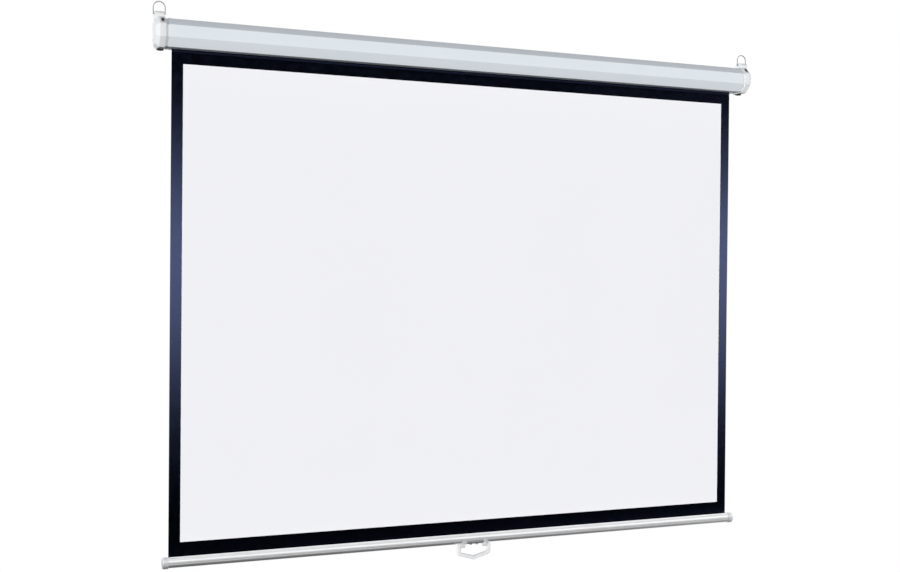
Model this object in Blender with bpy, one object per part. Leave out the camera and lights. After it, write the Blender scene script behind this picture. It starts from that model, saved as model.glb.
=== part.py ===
"""Pull-down projector screen: a case with a spring roller, a white screen sheet, its weight bar and handle.

Metres, +Z up. The origin is the centre of the case's flat back, which lies against the wall at y = 0.
+X runs along the case and the front faces -Y. The screen is pulled all the way down.
"""
import math

import bmesh
import bpy
from mathutils import Matrix, Vector

# Screen sheet
IMAGE_WIDTH = 1.600
IMAGE_HEIGHT = 1.200
SIDE_BORDER = 0.029
TOP_BORDER = 0.0349
BOTTOM_BORDER = 0.0372
CLOTH = 0.0005
SHEET_TO_WALL = 0.018

# Case, a formed steel sheet
CASE_HEIGHT = 0.070
CASE_DEPTH = 0.070
CASE_WALL = 0.001
CASE_OVERHANG = 0.0143
FRONT_CHAMFER = 0.020
UPPER_CHAMFER_HEIGHT = 0.0185
LOWER_CHAMFER_HEIGHT = 0.0217
REAR_CHAMFER = 0.006
SLOT_WIDTH = 0.010
SLOT_LIP = 0.005

# End caps
CAP_WALL = 0.0025
CAP_PROUD = 0.0025
CAP_COLLAR = 0.006
CAP_BODY = 0.015
CAP_NOSE = 0.009
CAP_NOSE_BACK = 0.002
CAP_PLUG = 0.012
CAP_PLUG_WALL = 0.002
CAP_EDGE = 0.0006
CASE_SCREW_SHARES = (0.25, 0.75)

# Hanging rings and the lugs that hold them
RING_WIRE = 0.003
RING_WIDTH = 0.032
RING_HEIGHT = 0.0328
RING_CORNER = 0.0024
RING_TO_WALL = 0.031
LUG_WIDTH = 0.024
LUG_DEPTH = 0.026
LUG_HEIGHT = 0.015
LUG_ROUND = 0.008
LUG_BORE_HEIGHT = 0.009
LUG_SCREW_INSET = 0.004

# Black plugs in the caps
FOOT_RADIUS = 0.009
FOOT_FACE_RADIUS = 0.0077
FOOT_HEIGHT = 0.003
FOOT_RIM = 0.0018
FOOT_STEM = 0.005
FOOT_TO_WALL = 0.0226
FOOT_INSET = 0.0159
BLANK_LENGTH = 0.015
BLANK_WIDTH = 0.007
BLANK_HEAD = 0.001
BLANK_RIM = 0.001

# Roller
ROLLER_RADIUS = 0.019
ROLLER_WALL = 0.0012
ROLLER_HEIGHT = 0.003
ROLLER_OVERHANG = 0.001
WRAP_TURNS = 2
WRAP_PITCH = 0.0007
WRAP_STEPS = 32
PLUG_FLANGE = 0.003
PLUG_RIM = 0.0005
PLUG_DEPTH = 0.025
HUB_LENGTH = 0.012

# Spring motor inside the roller's left end
ARBOR_RADIUS = 0.004
ARBOR_FLAT = 0.004
ARBOR_TIP = 0.004
SPRING_WIRE = 0.002
SPRING_RADIUS = 0.011
SPRING_LENGTH = 0.180
SPRING_TURNS = 20
SPRING_GRIP = 0.0096
ANCHOR_LENGTH = 0.014
ANCHOR_FLANGE = 0.004
GUIDE_LENGTH = 0.008
GUIDE_TO_ANCHOR = 0.0151

# Ratchet
RATCHET_RADIUS = 0.0085
RATCHET_FLOOR = 0.0058
RATCHET_WIDTH = 0.005
RATCHET_NOTCHES = 4
NOTCH_STOP = 153.0
NOTCH_FOOT = 151.0
NOTCH_RAMP = 114.0
PAWL_PIVOT = 0.0145
PAWL_HUB = 0.003
PAWL_WIDTH = 0.004
PAWL_LIFT = 0.0007
PAWL_NOSE = 0.0024
PAWL_NOSE_ANGLE = 145.0
PAWL_HEEL_ANGLE = 129.0
PAWL_BACK_ANGLE = 137.0
PAWL_PIN_RADIUS = 0.0015
PAWL_PIN_DEPTH = 0.006
PAWL_PIN_HEAD = 0.0026
PAWL_PIN_HEAD_HEIGHT = 0.0015

# Brackets that carry the roller inside the caps
BRACKET_WALL = 0.002
BRACKET_INSET = 0.0027
BOSS_RADIUS = 0.0045
BOSS_TO_WALL = 0.013
BOSS_HEIGHT = 0.021
IDLER_RADIUS = 0.004
IDLER_HUB_WALL = 0.0045
BUSH_WALL = 0.0015
BUSH_FLANGE = 0.003

# Weight bar
BAR_RADIUS = 0.013
BAR_WALL = 0.0015
BAR_FORWARD = 0.007
BAR_OVERHANG = 0.001
BAR_SLOT = 0.003
HEM_ROD_RADIUS = 0.0025
HEM_WRAP = 300.0
BAR_PLUG_RADIUS = 0.015
BAR_PLUG_LENGTH = 0.015
BAR_PLUG_SPIGOT = 0.014
BAR_PLUG_ROUND = 0.004
SPIGOT_TOP = 0.002

# Pull handle and its bracket
HANDLE_HALF_WIDTH = 0.0495
HANDLE_BAND = 0.0105
HANDLE_THICKNESS = 0.007
HANDLE_PIVOT_DROP = 0.019
HANDLE_ARM = 0.0043
HANDLE_SIDE = 0.020
HANDLE_SHOULDER = 0.0265
HANDLE_APEX = 0.0401
HANDLE_EDGE = 0.0012
HANDLE_END_ROUND = 0.48
HANDLE_SIDE_ROUND = 1.0
HANDLE_CORNER_ROUND = 0.5
HANDLE_INNER_ROUND = 0.4
HANDLE_PIN = 0.003
HANDLE_PIN_LENGTH = 0.009
SADDLE_WALL = 0.0018
SADDLE_SPREAD = 55.0
TAB_WALL = 0.0022
TAB_WIDTH = 0.0135
TAB_SPREAD = 72.0
TAB_ROUND = 0.005
EAR_WIDTH = 0.012
EAR_ROUND = 0.0055

# Fasteners
SCREW_RADIUS = 0.0016
SCREW_TIP_RADIUS = 0.0006
SCREW_TAPER = 0.0012
SCREW_HEAD = 0.0035
SCREW_CROWN = 0.0025
SCREW_HEAD_HEIGHT = 0.0022
SCREW_HEAD_SIDE = 0.001
SCREW_RECESS = 0.0013
SCREW_RECESS_DEPTH = 0.001
CASE_SCREW_LENGTH = 0.006
BRACKET_SCREW_LENGTH = 0.010
LUG_SCREW_LENGTH = 0.009
HANDLE_SCREW_LENGTH = 0.008
HANDLE_SCREW_SPREAD = 0.009

# Clearance between pieces that touch on the real object
GAP = 0.0003

ROUND = 40
SMALL_ROUND = 20
SPRING_STEPS = 12

# Places worked out from the sizes above
FABRIC_HALF = IMAGE_WIDTH / 2 + SIDE_BORDER
CASE_HALF = FABRIC_HALF + CASE_OVERHANG
CASE_TOP = CASE_HEIGHT / 2
SHEET_Y = -SHEET_TO_WALL
IMAGE_TOP = -CASE_TOP - TOP_BORDER
IMAGE_BOTTOM = IMAGE_TOP - IMAGE_HEIGHT
BAR_ENTRY = IMAGE_BOTTOM - BOTTOM_BORDER
BAR_Y = SHEET_Y - BAR_FORWARD
BAR_Z = BAR_ENTRY - math.sqrt(BAR_RADIUS ** 2 - BAR_FORWARD ** 2)
BAR_BORE = BAR_RADIUS - BAR_WALL
BAR_HALF = FABRIC_HALF + BAR_OVERHANG
HEM_RADIUS = HEM_ROD_RADIUS + GAP + CLOTH / 2
HEM_Y = SHEET_Y - HEM_RADIUS
HEM_Z = BAR_Z + math.sqrt((BAR_BORE - HEM_RADIUS - CLOTH / 2 - GAP) ** 2 - (HEM_Y - BAR_Y) ** 2)

CAP_START = CASE_HALF + GAP
COLLAR_END = CAP_START + CAP_COLLAR
NOSE_START = COLLAR_END + CAP_BODY
CAP_END = NOSE_START + CAP_NOSE
CAP_TOP = CASE_TOP + CAP_PROUD
RING_X = CAP_END - LUG_WIDTH / 2
LUG_SCREW_X = RING_X - LUG_SCREW_INSET
RING_Y = -RING_TO_WALL
LUG_BASE = CAP_TOP + GAP
RING_Z = LUG_BASE + LUG_BORE_HEIGHT

WRAP_INNER = ROLLER_RADIUS + GAP + CLOTH / 2
WRAP_OUTER = WRAP_INNER + WRAP_TURNS * WRAP_PITCH
ROLLER_Y = SHEET_Y - WRAP_OUTER
ROLLER_Z = ROLLER_HEIGHT
ROLLER_BORE = ROLLER_RADIUS - ROLLER_WALL
ROLLER_HALF = FABRIC_HALF + ROLLER_OVERHANG
FLANGE_START = ROLLER_HALF + GAP
FLANGE_END = FLANGE_START + PLUG_FLANGE
RATCHET_START = FLANGE_END + 2 * GAP
PAWL_START = RATCHET_START + (RATCHET_WIDTH - PAWL_WIDTH) / 2
PAWL_PIN_ROOT = FLANGE_END - PAWL_PIN_DEPTH
BRACKET_START = CAP_START + BRACKET_INSET
BRACKET_END = BRACKET_START + BRACKET_WALL
ARBOR_END = BRACKET_END + ARBOR_TIP
SPRING_HUB = SPRING_RADIUS * math.cos(math.pi / SPRING_STEPS) - SPRING_WIRE / 2 - GAP
HUB_START = ROLLER_HALF - PLUG_DEPTH
SPRING_START = HUB_START - SPRING_WIRE / 2 - GAP
SPRING_END = SPRING_START - SPRING_LENGTH
ANCHOR_SHOULDER = SPRING_END - ANCHOR_LENGTH
ANCHOR_END = ANCHOR_SHOULDER - ANCHOR_FLANGE
GUIDE_START = ANCHOR_END - GUIDE_TO_ANCHOR
GUIDE_END = GUIDE_START - GUIDE_LENGTH
ARBOR_LENGTH = ARBOR_END - GUIDE_END + GAP

HANDLE_Z = BAR_Z - HANDLE_PIVOT_DROP
HANDLE_GAP_HALF = HANDLE_HALF_WIDTH - HANDLE_BAND
BRACKET_HALF = HANDLE_GAP_HALF - 2 * GAP


def clear_scene():
    for item in list(bpy.data.objects):
        bpy.data.objects.remove(item, do_unlink=True)


def finish(name, colour, roughness, metallic=0.0):
    """A plain surface of one colour."""
    surface = bpy.data.materials.new(name)
    surface.use_nodes = True
    shader = surface.node_tree.nodes["Principled BSDF"]
    shader.inputs["Base Color"].default_value = (*colour, 1.0)
    shader.inputs["Roughness"].default_value = roughness
    shader.inputs["Metallic"].default_value = metallic
    return surface


def finishes():
    return {
        "painted_case": finish("painted_case", (0.80, 0.83, 0.86), 0.38),
        "white_plastic": finish("white_plastic", (0.86, 0.87, 0.88), 0.42),
        "black_rubber": finish("black_rubber", (0.02, 0.02, 0.022), 0.70),
        "ring_steel": finish("ring_steel", (0.62, 0.63, 0.64), 0.28, 1.0),
        "zinc_steel": finish("zinc_steel", (0.66, 0.66, 0.64), 0.42, 1.0),
        "spring_steel": finish("spring_steel", (0.32, 0.33, 0.35), 0.38, 1.0),
        "nylon": finish("nylon", (0.72, 0.71, 0.66), 0.55),
        "screen_cloth": finish("screen_cloth", (0.88, 0.89, 0.91), 0.85),
        "painted_bar": finish("painted_bar", (0.84, 0.85, 0.86), 0.30),
        "steel_rod": finish("steel_rod", (0.55, 0.56, 0.57), 0.40, 1.0),
    }


def joint_empty(name, place):
    """An empty that marks a joint's axis, which its moving pieces hang from."""
    empty = bpy.data.objects.new(name, None)
    empty.location = place
    empty.empty_display_size = 0.02
    bpy.context.scene.collection.objects.link(empty)
    return empty


def hang_from(piece, empty):
    """Parents a piece to a joint's empty and leaves it where it is."""
    piece.parent = empty
    piece.matrix_parent_inverse = Matrix.Translation(empty.location).inverted()
    if empty.parent is not None:
        whole = Matrix.Translation(empty.parent.location)
        own = empty.matrix_parent_inverse @ Matrix.Translation(empty.location)
        piece.matrix_parent_inverse = (whole @ own).inverted()
    return piece


def to_object(name, shape, surface, smooth=False):
    """Turns a bmesh into a named object with its faces pointing out."""
    bmesh.ops.recalc_face_normals(shape, faces=shape.faces)
    mesh = bpy.data.meshes.new(name)
    shape.to_mesh(mesh)
    shape.free()
    if smooth:
        mesh.shade_smooth()
        mesh.set_sharp_from_angle(angle=math.radians(35))
    piece = bpy.data.objects.new(name, mesh)
    if surface is not None:
        mesh.materials.append(surface)
    bpy.context.scene.collection.objects.link(piece)
    return piece


def as_tool(piece):
    """Marks an object as a cutter, which is no piece of its own."""
    piece.hide_render = True
    piece.display_type = "WIRE"
    return piece


def combine(piece, tool, operation):
    modifier = piece.modifiers.new(operation.lower(), "BOOLEAN")
    modifier.operation = operation
    modifier.solver = "EXACT"
    modifier.object = as_tool(tool)
    if piece.parent is not None:
        tool.parent = piece.parent
        tool.matrix_parent_inverse = piece.matrix_parent_inverse
    return piece


def cut(piece, tool):
    return combine(piece, tool, "DIFFERENCE")


def add(piece, tool):
    return combine(piece, tool, "UNION")


def round_edges(piece, width, segments=1):
    modifier = piece.modifiers.new("edges", "BEVEL")
    modifier.width = width
    modifier.segments = segments
    modifier.limit_method = "ANGLE"
    modifier.angle_limit = math.radians(32)
    return piece


def loft(rings, loop=False):
    """Skins rings of points; the first and last are closed with a face, or joined if it is a loop."""
    shape = bmesh.new()
    rows = [[shape.verts.new(point) for point in ring] for ring in rings]
    pairs = list(zip(rows, rows[1:]))
    if loop:
        pairs.append((rows[-1], rows[0]))
    for low, high in pairs:
        count = len(low)
        for index in range(count):
            after = (index + 1) % count
            shape.faces.new((low[index], low[after], high[after], high[index]))
    if not loop:
        shape.faces.new(rows[0])
        shape.faces.new(rows[-1])
    return shape


def prism_x(outline, low, high):
    """A (y, z) outline pushed along X."""
    return loft([[(x, y, z) for y, z in outline] for x in (low, high)])


def prism_y(outline, low, high):
    """An (x, z) outline pushed along Y."""
    return loft([[(x, y, z) for x, z in outline] for y in (low, high)])


def box(low, high):
    outline = [(low[1], low[2]), (high[1], low[2]), (high[1], high[2]), (low[1], high[2])]
    return prism_x(outline, low[0], high[0])


def along(direction, place=(0.0, 0.0, 0.0)):
    """The move that takes a shape turned about Z onto a direction and a place."""
    turn = Vector((0.0, 0.0, 1.0)).rotation_difference(Vector(direction))
    return Matrix.Translation(place) @ turn.to_matrix().to_4x4()


def turned(profile, move, segments=ROUND, loop=False):
    """A (radius, height) profile turned about Z, then moved; a loop makes a hollow piece."""
    rings = []
    for radius, height in profile:
        angles = [2 * math.pi * step / segments for step in range(segments)]
        rings.append([move @ Vector((radius * math.cos(a), radius * math.sin(a), height)) for a in angles])
    return loft(rings, loop)


def rod(radius, low, high, move, segments=ROUND):
    return turned([(radius, low), (radius, high)], move, segments)


def sleeve(outer, inner, low, high, move, segments=ROUND):
    return turned([(outer, low), (outer, high), (inner, high), (inner, low)], move, segments, loop=True)


def arc(centre, radius, start, end, steps):
    """Points of an arc in a plane, with its angles in degrees."""
    points = []
    for step in range(steps + 1):
        angle = math.radians(start + (end - start) * step / steps)
        points.append((centre[0] + radius * math.cos(angle), centre[1] + radius * math.sin(angle)))
    return points


def rounded(corners, radii, steps=4):
    """An outline with each corner replaced by an arc of its radius; a radius of 0 keeps the corner."""
    outline = []
    for index, corner in enumerate(corners):
        here = Vector(corner)
        before = (Vector(corners[index - 1]) - here).normalized()
        after = (Vector(corners[(index + 1) % len(corners)]) - here).normalized()
        radius = radii[index]
        if radius == 0:
            outline.append(tuple(here))
            continue
        half = before.angle(after) / 2
        middle = here + (before + after).normalized() * (radius / math.sin(half))
        start = here + before * (radius / math.tan(half)) - middle
        swing = start.angle_signed(here + after * (radius / math.tan(half)) - middle)
        for step in range(steps + 1):
            turn = Matrix.Rotation(-swing * step / steps, 2)
            outline.append(tuple(middle + turn @ start))
    return outline


def offset_outline(corners, distances):
    """A convex outline, run anticlockwise, with each side moved outwards by its own distance."""
    count = len(corners)
    lines = []
    for index in range(count):
        start = Vector(corners[index])
        run = (Vector(corners[(index + 1) % count]) - start).normalized()
        outward = Vector((run.y, -run.x))
        lines.append((start + outward * distances[index], run))
    result = []
    for index in range(count):
        start, run = lines[index - 1]
        other, other_run = lines[index]
        cross = run.x * other_run.y - run.y * other_run.x
        apart = other - start
        reach = (apart.x * other_run.y - apart.y * other_run.x) / cross
        result.append(tuple(start + run * reach))
    return result


def ribbon(path, right, left):
    """The outline of a strip that follows a path, with its thickness to the right and to the left."""
    points = [Vector(point) for point in path]
    runs = [(b - a).normalized() for a, b in zip(points, points[1:])]
    sides = [Vector((run.y, -run.x)) for run in runs]
    corners = [sides[0]]
    for before, after in zip(sides, sides[1:]):
        corners.append((before + after) / (1 + before.dot(after)))
    corners.append(sides[-1])
    there = [tuple(point + corner * right) for point, corner in zip(points, corners)]
    back = [tuple(point - corner * left) for point, corner in zip(points, corners)]
    return there + back[::-1]


def wire(path, normals, radius, sides=8, loop=False):
    """A round wire along a path; each normal is square to the path at its point."""
    count = len(path)
    rings = []
    for index, (point, normal) in enumerate(zip(path, normals)):
        before = path[index - 1] if loop else path[max(index - 1, 0)]
        after = path[(index + 1) % count] if loop else path[min(index + 1, count - 1)]
        forward = (Vector(after) - Vector(before)).normalized()
        across = forward.cross(Vector(normal)).normalized()
        ring = []
        for side in range(sides):
            angle = 2 * math.pi * side / sides
            outward = Vector(normal) * math.cos(angle) + across * math.sin(angle)
            ring.append(Vector(point) + outward * radius)
        rings.append(ring)
    return loft(rings, loop)


def mirrored(values, side):
    """Distances from the middle, as x values on the left (side -1) or the right (side 1)."""
    return [side * value for value in values]


def span(low, high, side):
    """A run of distances from the middle, as x values in rising order."""
    return sorted(mirrored((low, high), side))


def case_corners():
    """Corners of the case's section as (y, z), anticlockwise, from the foot of its flat back."""
    front = -CASE_DEPTH
    chamfer = front + FRONT_CHAMFER
    return [
        (0.0, -CASE_TOP + REAR_CHAMFER),
        (0.0, CASE_TOP - REAR_CHAMFER),
        (-REAR_CHAMFER, CASE_TOP),
        (chamfer, CASE_TOP),
        (front, CASE_TOP - UPPER_CHAMFER_HEIGHT),
        (front, -CASE_TOP + LOWER_CHAMFER_HEIGHT),
        (chamfer, -CASE_TOP),
        (-REAR_CHAMFER, -CASE_TOP),
    ]


def section(grow, back):
    """The case's section, grown all round, with its back moved by its own distance."""
    corners = case_corners()
    return offset_outline(corners, [back] + [grow] * (len(corners) - 1))


def case_shell(surface):
    corners = case_corners()
    slot_front = SHEET_Y - SLOT_WIDTH / 2
    slot_rear = SHEET_Y + SLOT_WIDTH / 2
    lip = -CASE_TOP + SLOT_LIP
    path = [(slot_front, lip), (slot_front, -CASE_TOP)]
    path += [corners[index] for index in (6, 5, 4, 3, 2, 1, 0, 7)]
    path += [(slot_rear, -CASE_TOP), (slot_rear, lip)]
    shell = to_object("case_shell", prism_x(ribbon(path, CASE_WALL, 0.0), -CASE_HALF, CASE_HALF), surface)
    for side in (-1, 1):
        for number, depth in enumerate(case_screw_depths()):
            hole = rod(SCREW_RADIUS + GAP, CASE_TOP - 2 * CASE_WALL, CASE_TOP + CASE_WALL,
                       Matrix.Translation((side * case_screw_x(), depth, 0.0)), SMALL_ROUND)
            cut(shell, to_object(f"case_hole_{side}_{number}", hole, None))
    return shell


def case_screw_x():
    return CAP_START - CAP_PLUG / 2


def case_screw_depths():
    """Two screws on the case's top, at a quarter and at three quarters of its flat."""
    flat = CASE_DEPTH - FRONT_CHAMFER - REAR_CHAMFER
    return [-REAR_CHAMFER - flat * share for share in CASE_SCREW_SHARES]


def cap_rings(side):
    """Rings of the cap's moulding, from the outer face of its nose round to the inner one."""
    plug = -(CASE_WALL + GAP)
    cavity = plug - CAP_PLUG_WALL
    inner = CAP_PROUD - CAP_WALL
    nose = CAP_PROUD - CAP_NOSE
    stations = [
        (CAP_END, nose, -CAP_NOSE_BACK),
        (NOSE_START, CAP_PROUD, 0.0),
        (COLLAR_END, CAP_PROUD, 0.0),
        (COLLAR_END, 0.0, 0.0),
        (CAP_START, 0.0, 0.0),
        (CAP_START, plug, plug),
        (CAP_START - CAP_PLUG, plug, plug),
        (CAP_START - CAP_PLUG, cavity, cavity),
        (COLLAR_END + CAP_WALL, cavity, cavity),
        (COLLAR_END + CAP_WALL, inner, -CAP_WALL),
        (NOSE_START, inner, -CAP_WALL),
        (CAP_END - CAP_WALL, nose - CAP_WALL / 2, -CAP_NOSE_BACK - CAP_WALL),
    ]
    return [[(side * x, y, z) for y, z in section(grow, back)] for x, grow, back in stations]


def boss_places():
    return [(-BOSS_TO_WALL, height) for height in (-BOSS_HEIGHT, BOSS_HEIGHT)]


def end_cap(name, side, surface):
    """A moulded cap: a plug in the case, a flush collar, then a proud body with a bevelled nose."""
    cap = to_object(name, loft(cap_rings(side)), surface)
    round_edges(cap, CAP_EDGE)
    for number, (depth, height) in enumerate(boss_places()):
        low, high = span(BRACKET_END + GAP, CAP_END - CAP_WALL / 2, side)
        axis = along((1, 0, 0), (0.0, depth, height))
        add(cap, to_object(f"{name}_boss_{number}", rod(BOSS_RADIUS, low, high, axis, SMALL_ROUND), None))
        low, high = span(BRACKET_END - GAP, BRACKET_END + BRACKET_SCREW_LENGTH, side)
        pilot = rod(SCREW_RADIUS + GAP, low, high, axis, SMALL_ROUND)
        cut(cap, to_object(f"{name}_pilot_{number}", pilot, None))
    for number, depth in enumerate(case_screw_depths()):
        hole = rod(SCREW_RADIUS + GAP, CASE_TOP - CASE_SCREW_LENGTH, CASE_TOP,
                   Matrix.Translation((side * case_screw_x(), depth, 0.0)), SMALL_ROUND)
        cut(cap, to_object(f"{name}_case_hole_{number}", hole, None))
    hole = rod(SCREW_RADIUS + GAP, CAP_TOP - 2 * CAP_WALL, CAP_TOP + CAP_WALL,
               Matrix.Translation((side * LUG_SCREW_X, RING_Y, 0.0)), SMALL_ROUND)
    cut(cap, to_object(f"{name}_lug_hole", hole, None))
    hole = rod(FOOT_STEM + GAP, -CAP_TOP - CAP_WALL, -CAP_TOP + 2 * CAP_WALL, foot_place(side), SMALL_ROUND)
    cut(cap, to_object(f"{name}_foot_hole", hole, None))
    play = 2 * (GAP - BLANK_RIM)
    slot = prism_along(oblong(BLANK_LENGTH + play, BLANK_WIDTH + play), -2 * CAP_WALL, 2 * CAP_WALL,
                       blank_place(side))
    cut(cap, to_object(f"{name}_blank_hole", slot, None))
    low, high = span(CAP_START - CAP_PLUG - GAP, CAP_START, side)
    room = SLOT_WIDTH / 2 + CASE_WALL + GAP
    notch = box((low, SHEET_Y - room, -CASE_TOP), (high, SHEET_Y + room, -CASE_TOP + SLOT_LIP + GAP))
    return cut(cap, to_object(f"{name}_lip_notch", notch, None))


def foot_place(side):
    return Matrix.Translation((side * (CAP_END - FOOT_INSET), -FOOT_TO_WALL, 0.0))


def blank_place(side):
    """The middle of the body's upper front slope, with Z square to the slope and X up along it."""
    outline = section(CAP_PROUD, 0.0)
    low, high = Vector(outline[4]), Vector(outline[3])
    middle = (low + high) / 2
    slope = (high - low).normalized()
    up = Vector((0.0, slope.x, slope.y))
    sideways = Vector((-1.0, 0.0, 0.0))
    out = up.cross(sideways)
    turn = Matrix((up, sideways, out)).transposed().to_4x4()
    return Matrix.Translation((side * (COLLAR_END + CAP_BODY / 2), middle.x, middle.y)) @ turn


def oblong(length, width, steps=6):
    """A slot-shaped outline, long in its first direction."""
    reach = (length - width) / 2
    return arc((reach, 0.0), width / 2, -90, 90, steps) + arc((-reach, 0.0), width / 2, 90, 270, steps)


def prism_along(outline, low, high, move):
    return loft([[move @ Vector((a, b, height)) for a, b in outline] for height in (low, high)])


def hanger_lug(name, side, surface):
    """A block on the cap's top, flush with its end, with a cross bore for the ring."""
    half = LUG_DEPTH / 2
    foot = LUG_BASE - CAP_NOSE
    top = LUG_BASE + LUG_HEIGHT
    corners = [(RING_Y - half, foot), (RING_Y + half, foot), (RING_Y + half, top), (RING_Y - half, top)]
    low, high = span(RING_X - LUG_WIDTH / 2, RING_X + LUG_WIDTH / 2, side)
    outline = rounded(corners, [0, 0, LUG_ROUND, LUG_ROUND])
    lug = to_object(name, prism_x(outline, low, high), surface)
    seat = [(side * (COLLAR_END - LUG_WIDTH), LUG_BASE), (side * NOSE_START, LUG_BASE),
            (side * (CAP_END + GAP), foot), (side * (CAP_END + GAP), foot - LUG_HEIGHT),
            (side * (COLLAR_END - LUG_WIDTH), foot - LUG_HEIGHT)]
    cut(lug, to_object(f"{name}_seat", prism_y(seat, RING_Y - LUG_DEPTH, RING_Y + LUG_DEPTH), None))
    axis = along((1, 0, 0), (0.0, RING_Y, RING_Z))
    bore = rod(RING_WIRE / 2 + GAP, low - RING_WIRE, high + RING_WIRE, axis, SMALL_ROUND)
    cut(lug, to_object(f"{name}_bore", bore, None))
    pilot = rod(SCREW_RADIUS + GAP, LUG_BASE - GAP, CAP_TOP - CAP_WALL + LUG_SCREW_LENGTH + GAP,
                Matrix.Translation((side * LUG_SCREW_X, RING_Y, 0.0)), SMALL_ROUND)
    return cut(lug, to_object(f"{name}_pilot", pilot, None))


def hanging_ring(name, side, surface):
    """A closed wire bail, straight through the lug and round at the top, standing upright."""
    half = (RING_WIDTH - RING_WIRE) / 2
    middle = side * RING_X
    top = RING_Z + RING_HEIGHT - RING_WIDTH / 2
    corner = RING_CORNER
    outline = arc((middle - half + corner, RING_Z + corner), corner, 180, 270, 3)
    outline += arc((middle + half - corner, RING_Z + corner), corner, 270, 360, 3)
    outline += arc((middle, top), half, 0, 180, 14)
    path = [(x, RING_Y, z) for x, z in outline]
    normals = [(0.0, 1.0, 0.0)] * len(path)
    return to_object(name, wire(path, normals, RING_WIRE / 2, 8, loop=True), surface, smooth=True)


def foot_plug(name, side, surface):
    """A round black plug under the cap: a low head and a stem through the cap's floor."""
    face = -CAP_TOP - GAP
    profile = [(FOOT_FACE_RADIUS, face - FOOT_HEIGHT), (FOOT_RADIUS, face - FOOT_RIM),
               (FOOT_RADIUS, face), (FOOT_STEM, face), (FOOT_STEM, -CAP_TOP + CAP_WALL + GAP)]
    return to_object(name, turned(profile, foot_place(side), SMALL_ROUND), surface, smooth=True)


def blank_plug(name, side, surface):
    """An oblong black plug in the cap's upper front slope."""
    place = blank_place(side)
    rim = oblong(BLANK_LENGTH, BLANK_WIDTH)
    stem = oblong(BLANK_LENGTH - 2 * BLANK_RIM, BLANK_WIDTH - 2 * BLANK_RIM)
    layers = [(rim, GAP + BLANK_HEAD), (rim, GAP), (stem, GAP), (stem, -CAP_WALL)]
    rings = [[place @ Vector((a, b, height)) for a, b in outline] for outline, height in layers]
    return to_object(name, loft(rings), surface)


def screw(name, place, direction, length, surface):
    """A pan-head screw: its head sits on the place and its shank runs against the direction."""
    profile = [
        (SCREW_RECESS, SCREW_HEAD_HEIGHT - SCREW_RECESS_DEPTH),
        (SCREW_RECESS, SCREW_HEAD_HEIGHT),
        (SCREW_CROWN, SCREW_HEAD_HEIGHT),
        (SCREW_HEAD, SCREW_HEAD_SIDE),
        (SCREW_HEAD, 0.0),
        (SCREW_RADIUS, 0.0),
        (SCREW_RADIUS, SCREW_TAPER - length),
        (SCREW_TIP_RADIUS, -length),
    ]
    return to_object(name, turned(profile, along(direction, place), 12), surface, smooth=True)


def bracket_plate(name, side, surface):
    """A steel plate inside the cap that carries the roller's end."""
    inset = -(CASE_WALL + GAP + CAP_PLUG_WALL + GAP)
    low, high = span(BRACKET_START, BRACKET_END, side)
    plate = to_object(name, prism_x(section(inset, inset), low, high), surface)
    for number, (depth, height) in enumerate(boss_places()):
        axis = along((1, 0, 0), (0.0, depth, height))
        hole = rod(SCREW_RADIUS + GAP, low - BRACKET_WALL, high + BRACKET_WALL, axis, SMALL_ROUND)
        cut(plate, to_object(f"{name}_hole_{number}", hole, None))
    return plate


def roller_axis_move():
    return along((1, 0, 0), (0.0, ROLLER_Y, ROLLER_Z))


def left_bracket(surface):
    """The left plate has a slot that keeps the spring's arbor from turning."""
    plate = bracket_plate("left_bracket", -1, surface)
    half_flat = ARBOR_FLAT / 2 + GAP
    reach = ARBOR_RADIUS + GAP
    slot = box((-BRACKET_END - BRACKET_WALL, ROLLER_Y - half_flat, ROLLER_Z - reach),
               (-BRACKET_START + BRACKET_WALL, ROLLER_Y + half_flat, ROLLER_Z + reach))
    return cut(plate, to_object("left_bracket_slot", slot, None))


def right_bracket(surface):
    """The right plate has a round hole for the idler's bush."""
    plate = bracket_plate("right_bracket", 1, surface)
    radius = IDLER_RADIUS + GAP + BUSH_WALL + GAP
    hole = rod(radius, BRACKET_START - BRACKET_WALL, BRACKET_END + BRACKET_WALL, roller_axis_move(),
               SMALL_ROUND)
    return cut(plate, to_object("right_bracket_hole", hole, None))


def idler_bush(surface):
    """A flanged nylon bush in the right plate, in which the idler pin turns."""
    bore = IDLER_RADIUS + GAP
    outer = bore + BUSH_WALL
    rim = outer + BUSH_FLANGE
    seat = BRACKET_START - GAP
    profile = [(bore, seat - BUSH_WALL), (rim, seat - BUSH_WALL), (rim, seat), (outer, seat),
               (outer, BRACKET_END + BUSH_WALL), (bore, BRACKET_END + BUSH_WALL)]
    shape = turned(profile, roller_axis_move(), SMALL_ROUND, loop=True)
    return to_object("idler_bush", shape, surface, smooth=True)


def roller_tube(surface):
    shape = sleeve(ROLLER_RADIUS, ROLLER_BORE, -ROLLER_HALF, ROLLER_HALF, roller_axis_move())
    return to_object("roller_tube", shape, surface, smooth=True)


def wrapped_cloth(surface):
    """The last turns of cloth that stay on the roller: a spiral that ends where the sheet leaves it."""
    steps = WRAP_STEPS * WRAP_TURNS
    path = []
    for step in range(steps + 1):
        share = step / steps
        angle = 2 * math.pi * WRAP_TURNS * (1 - share)
        radius = WRAP_INNER + (WRAP_OUTER - WRAP_INNER) * share
        path.append((ROLLER_Y + radius * math.cos(angle), ROLLER_Z + radius * math.sin(angle)))
    outline = ribbon(path, CLOTH / 2, CLOTH / 2)
    return to_object("wrapped_cloth", prism_x(outline, -FABRIC_HALF, FABRIC_HALF), surface, smooth=True)


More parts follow.
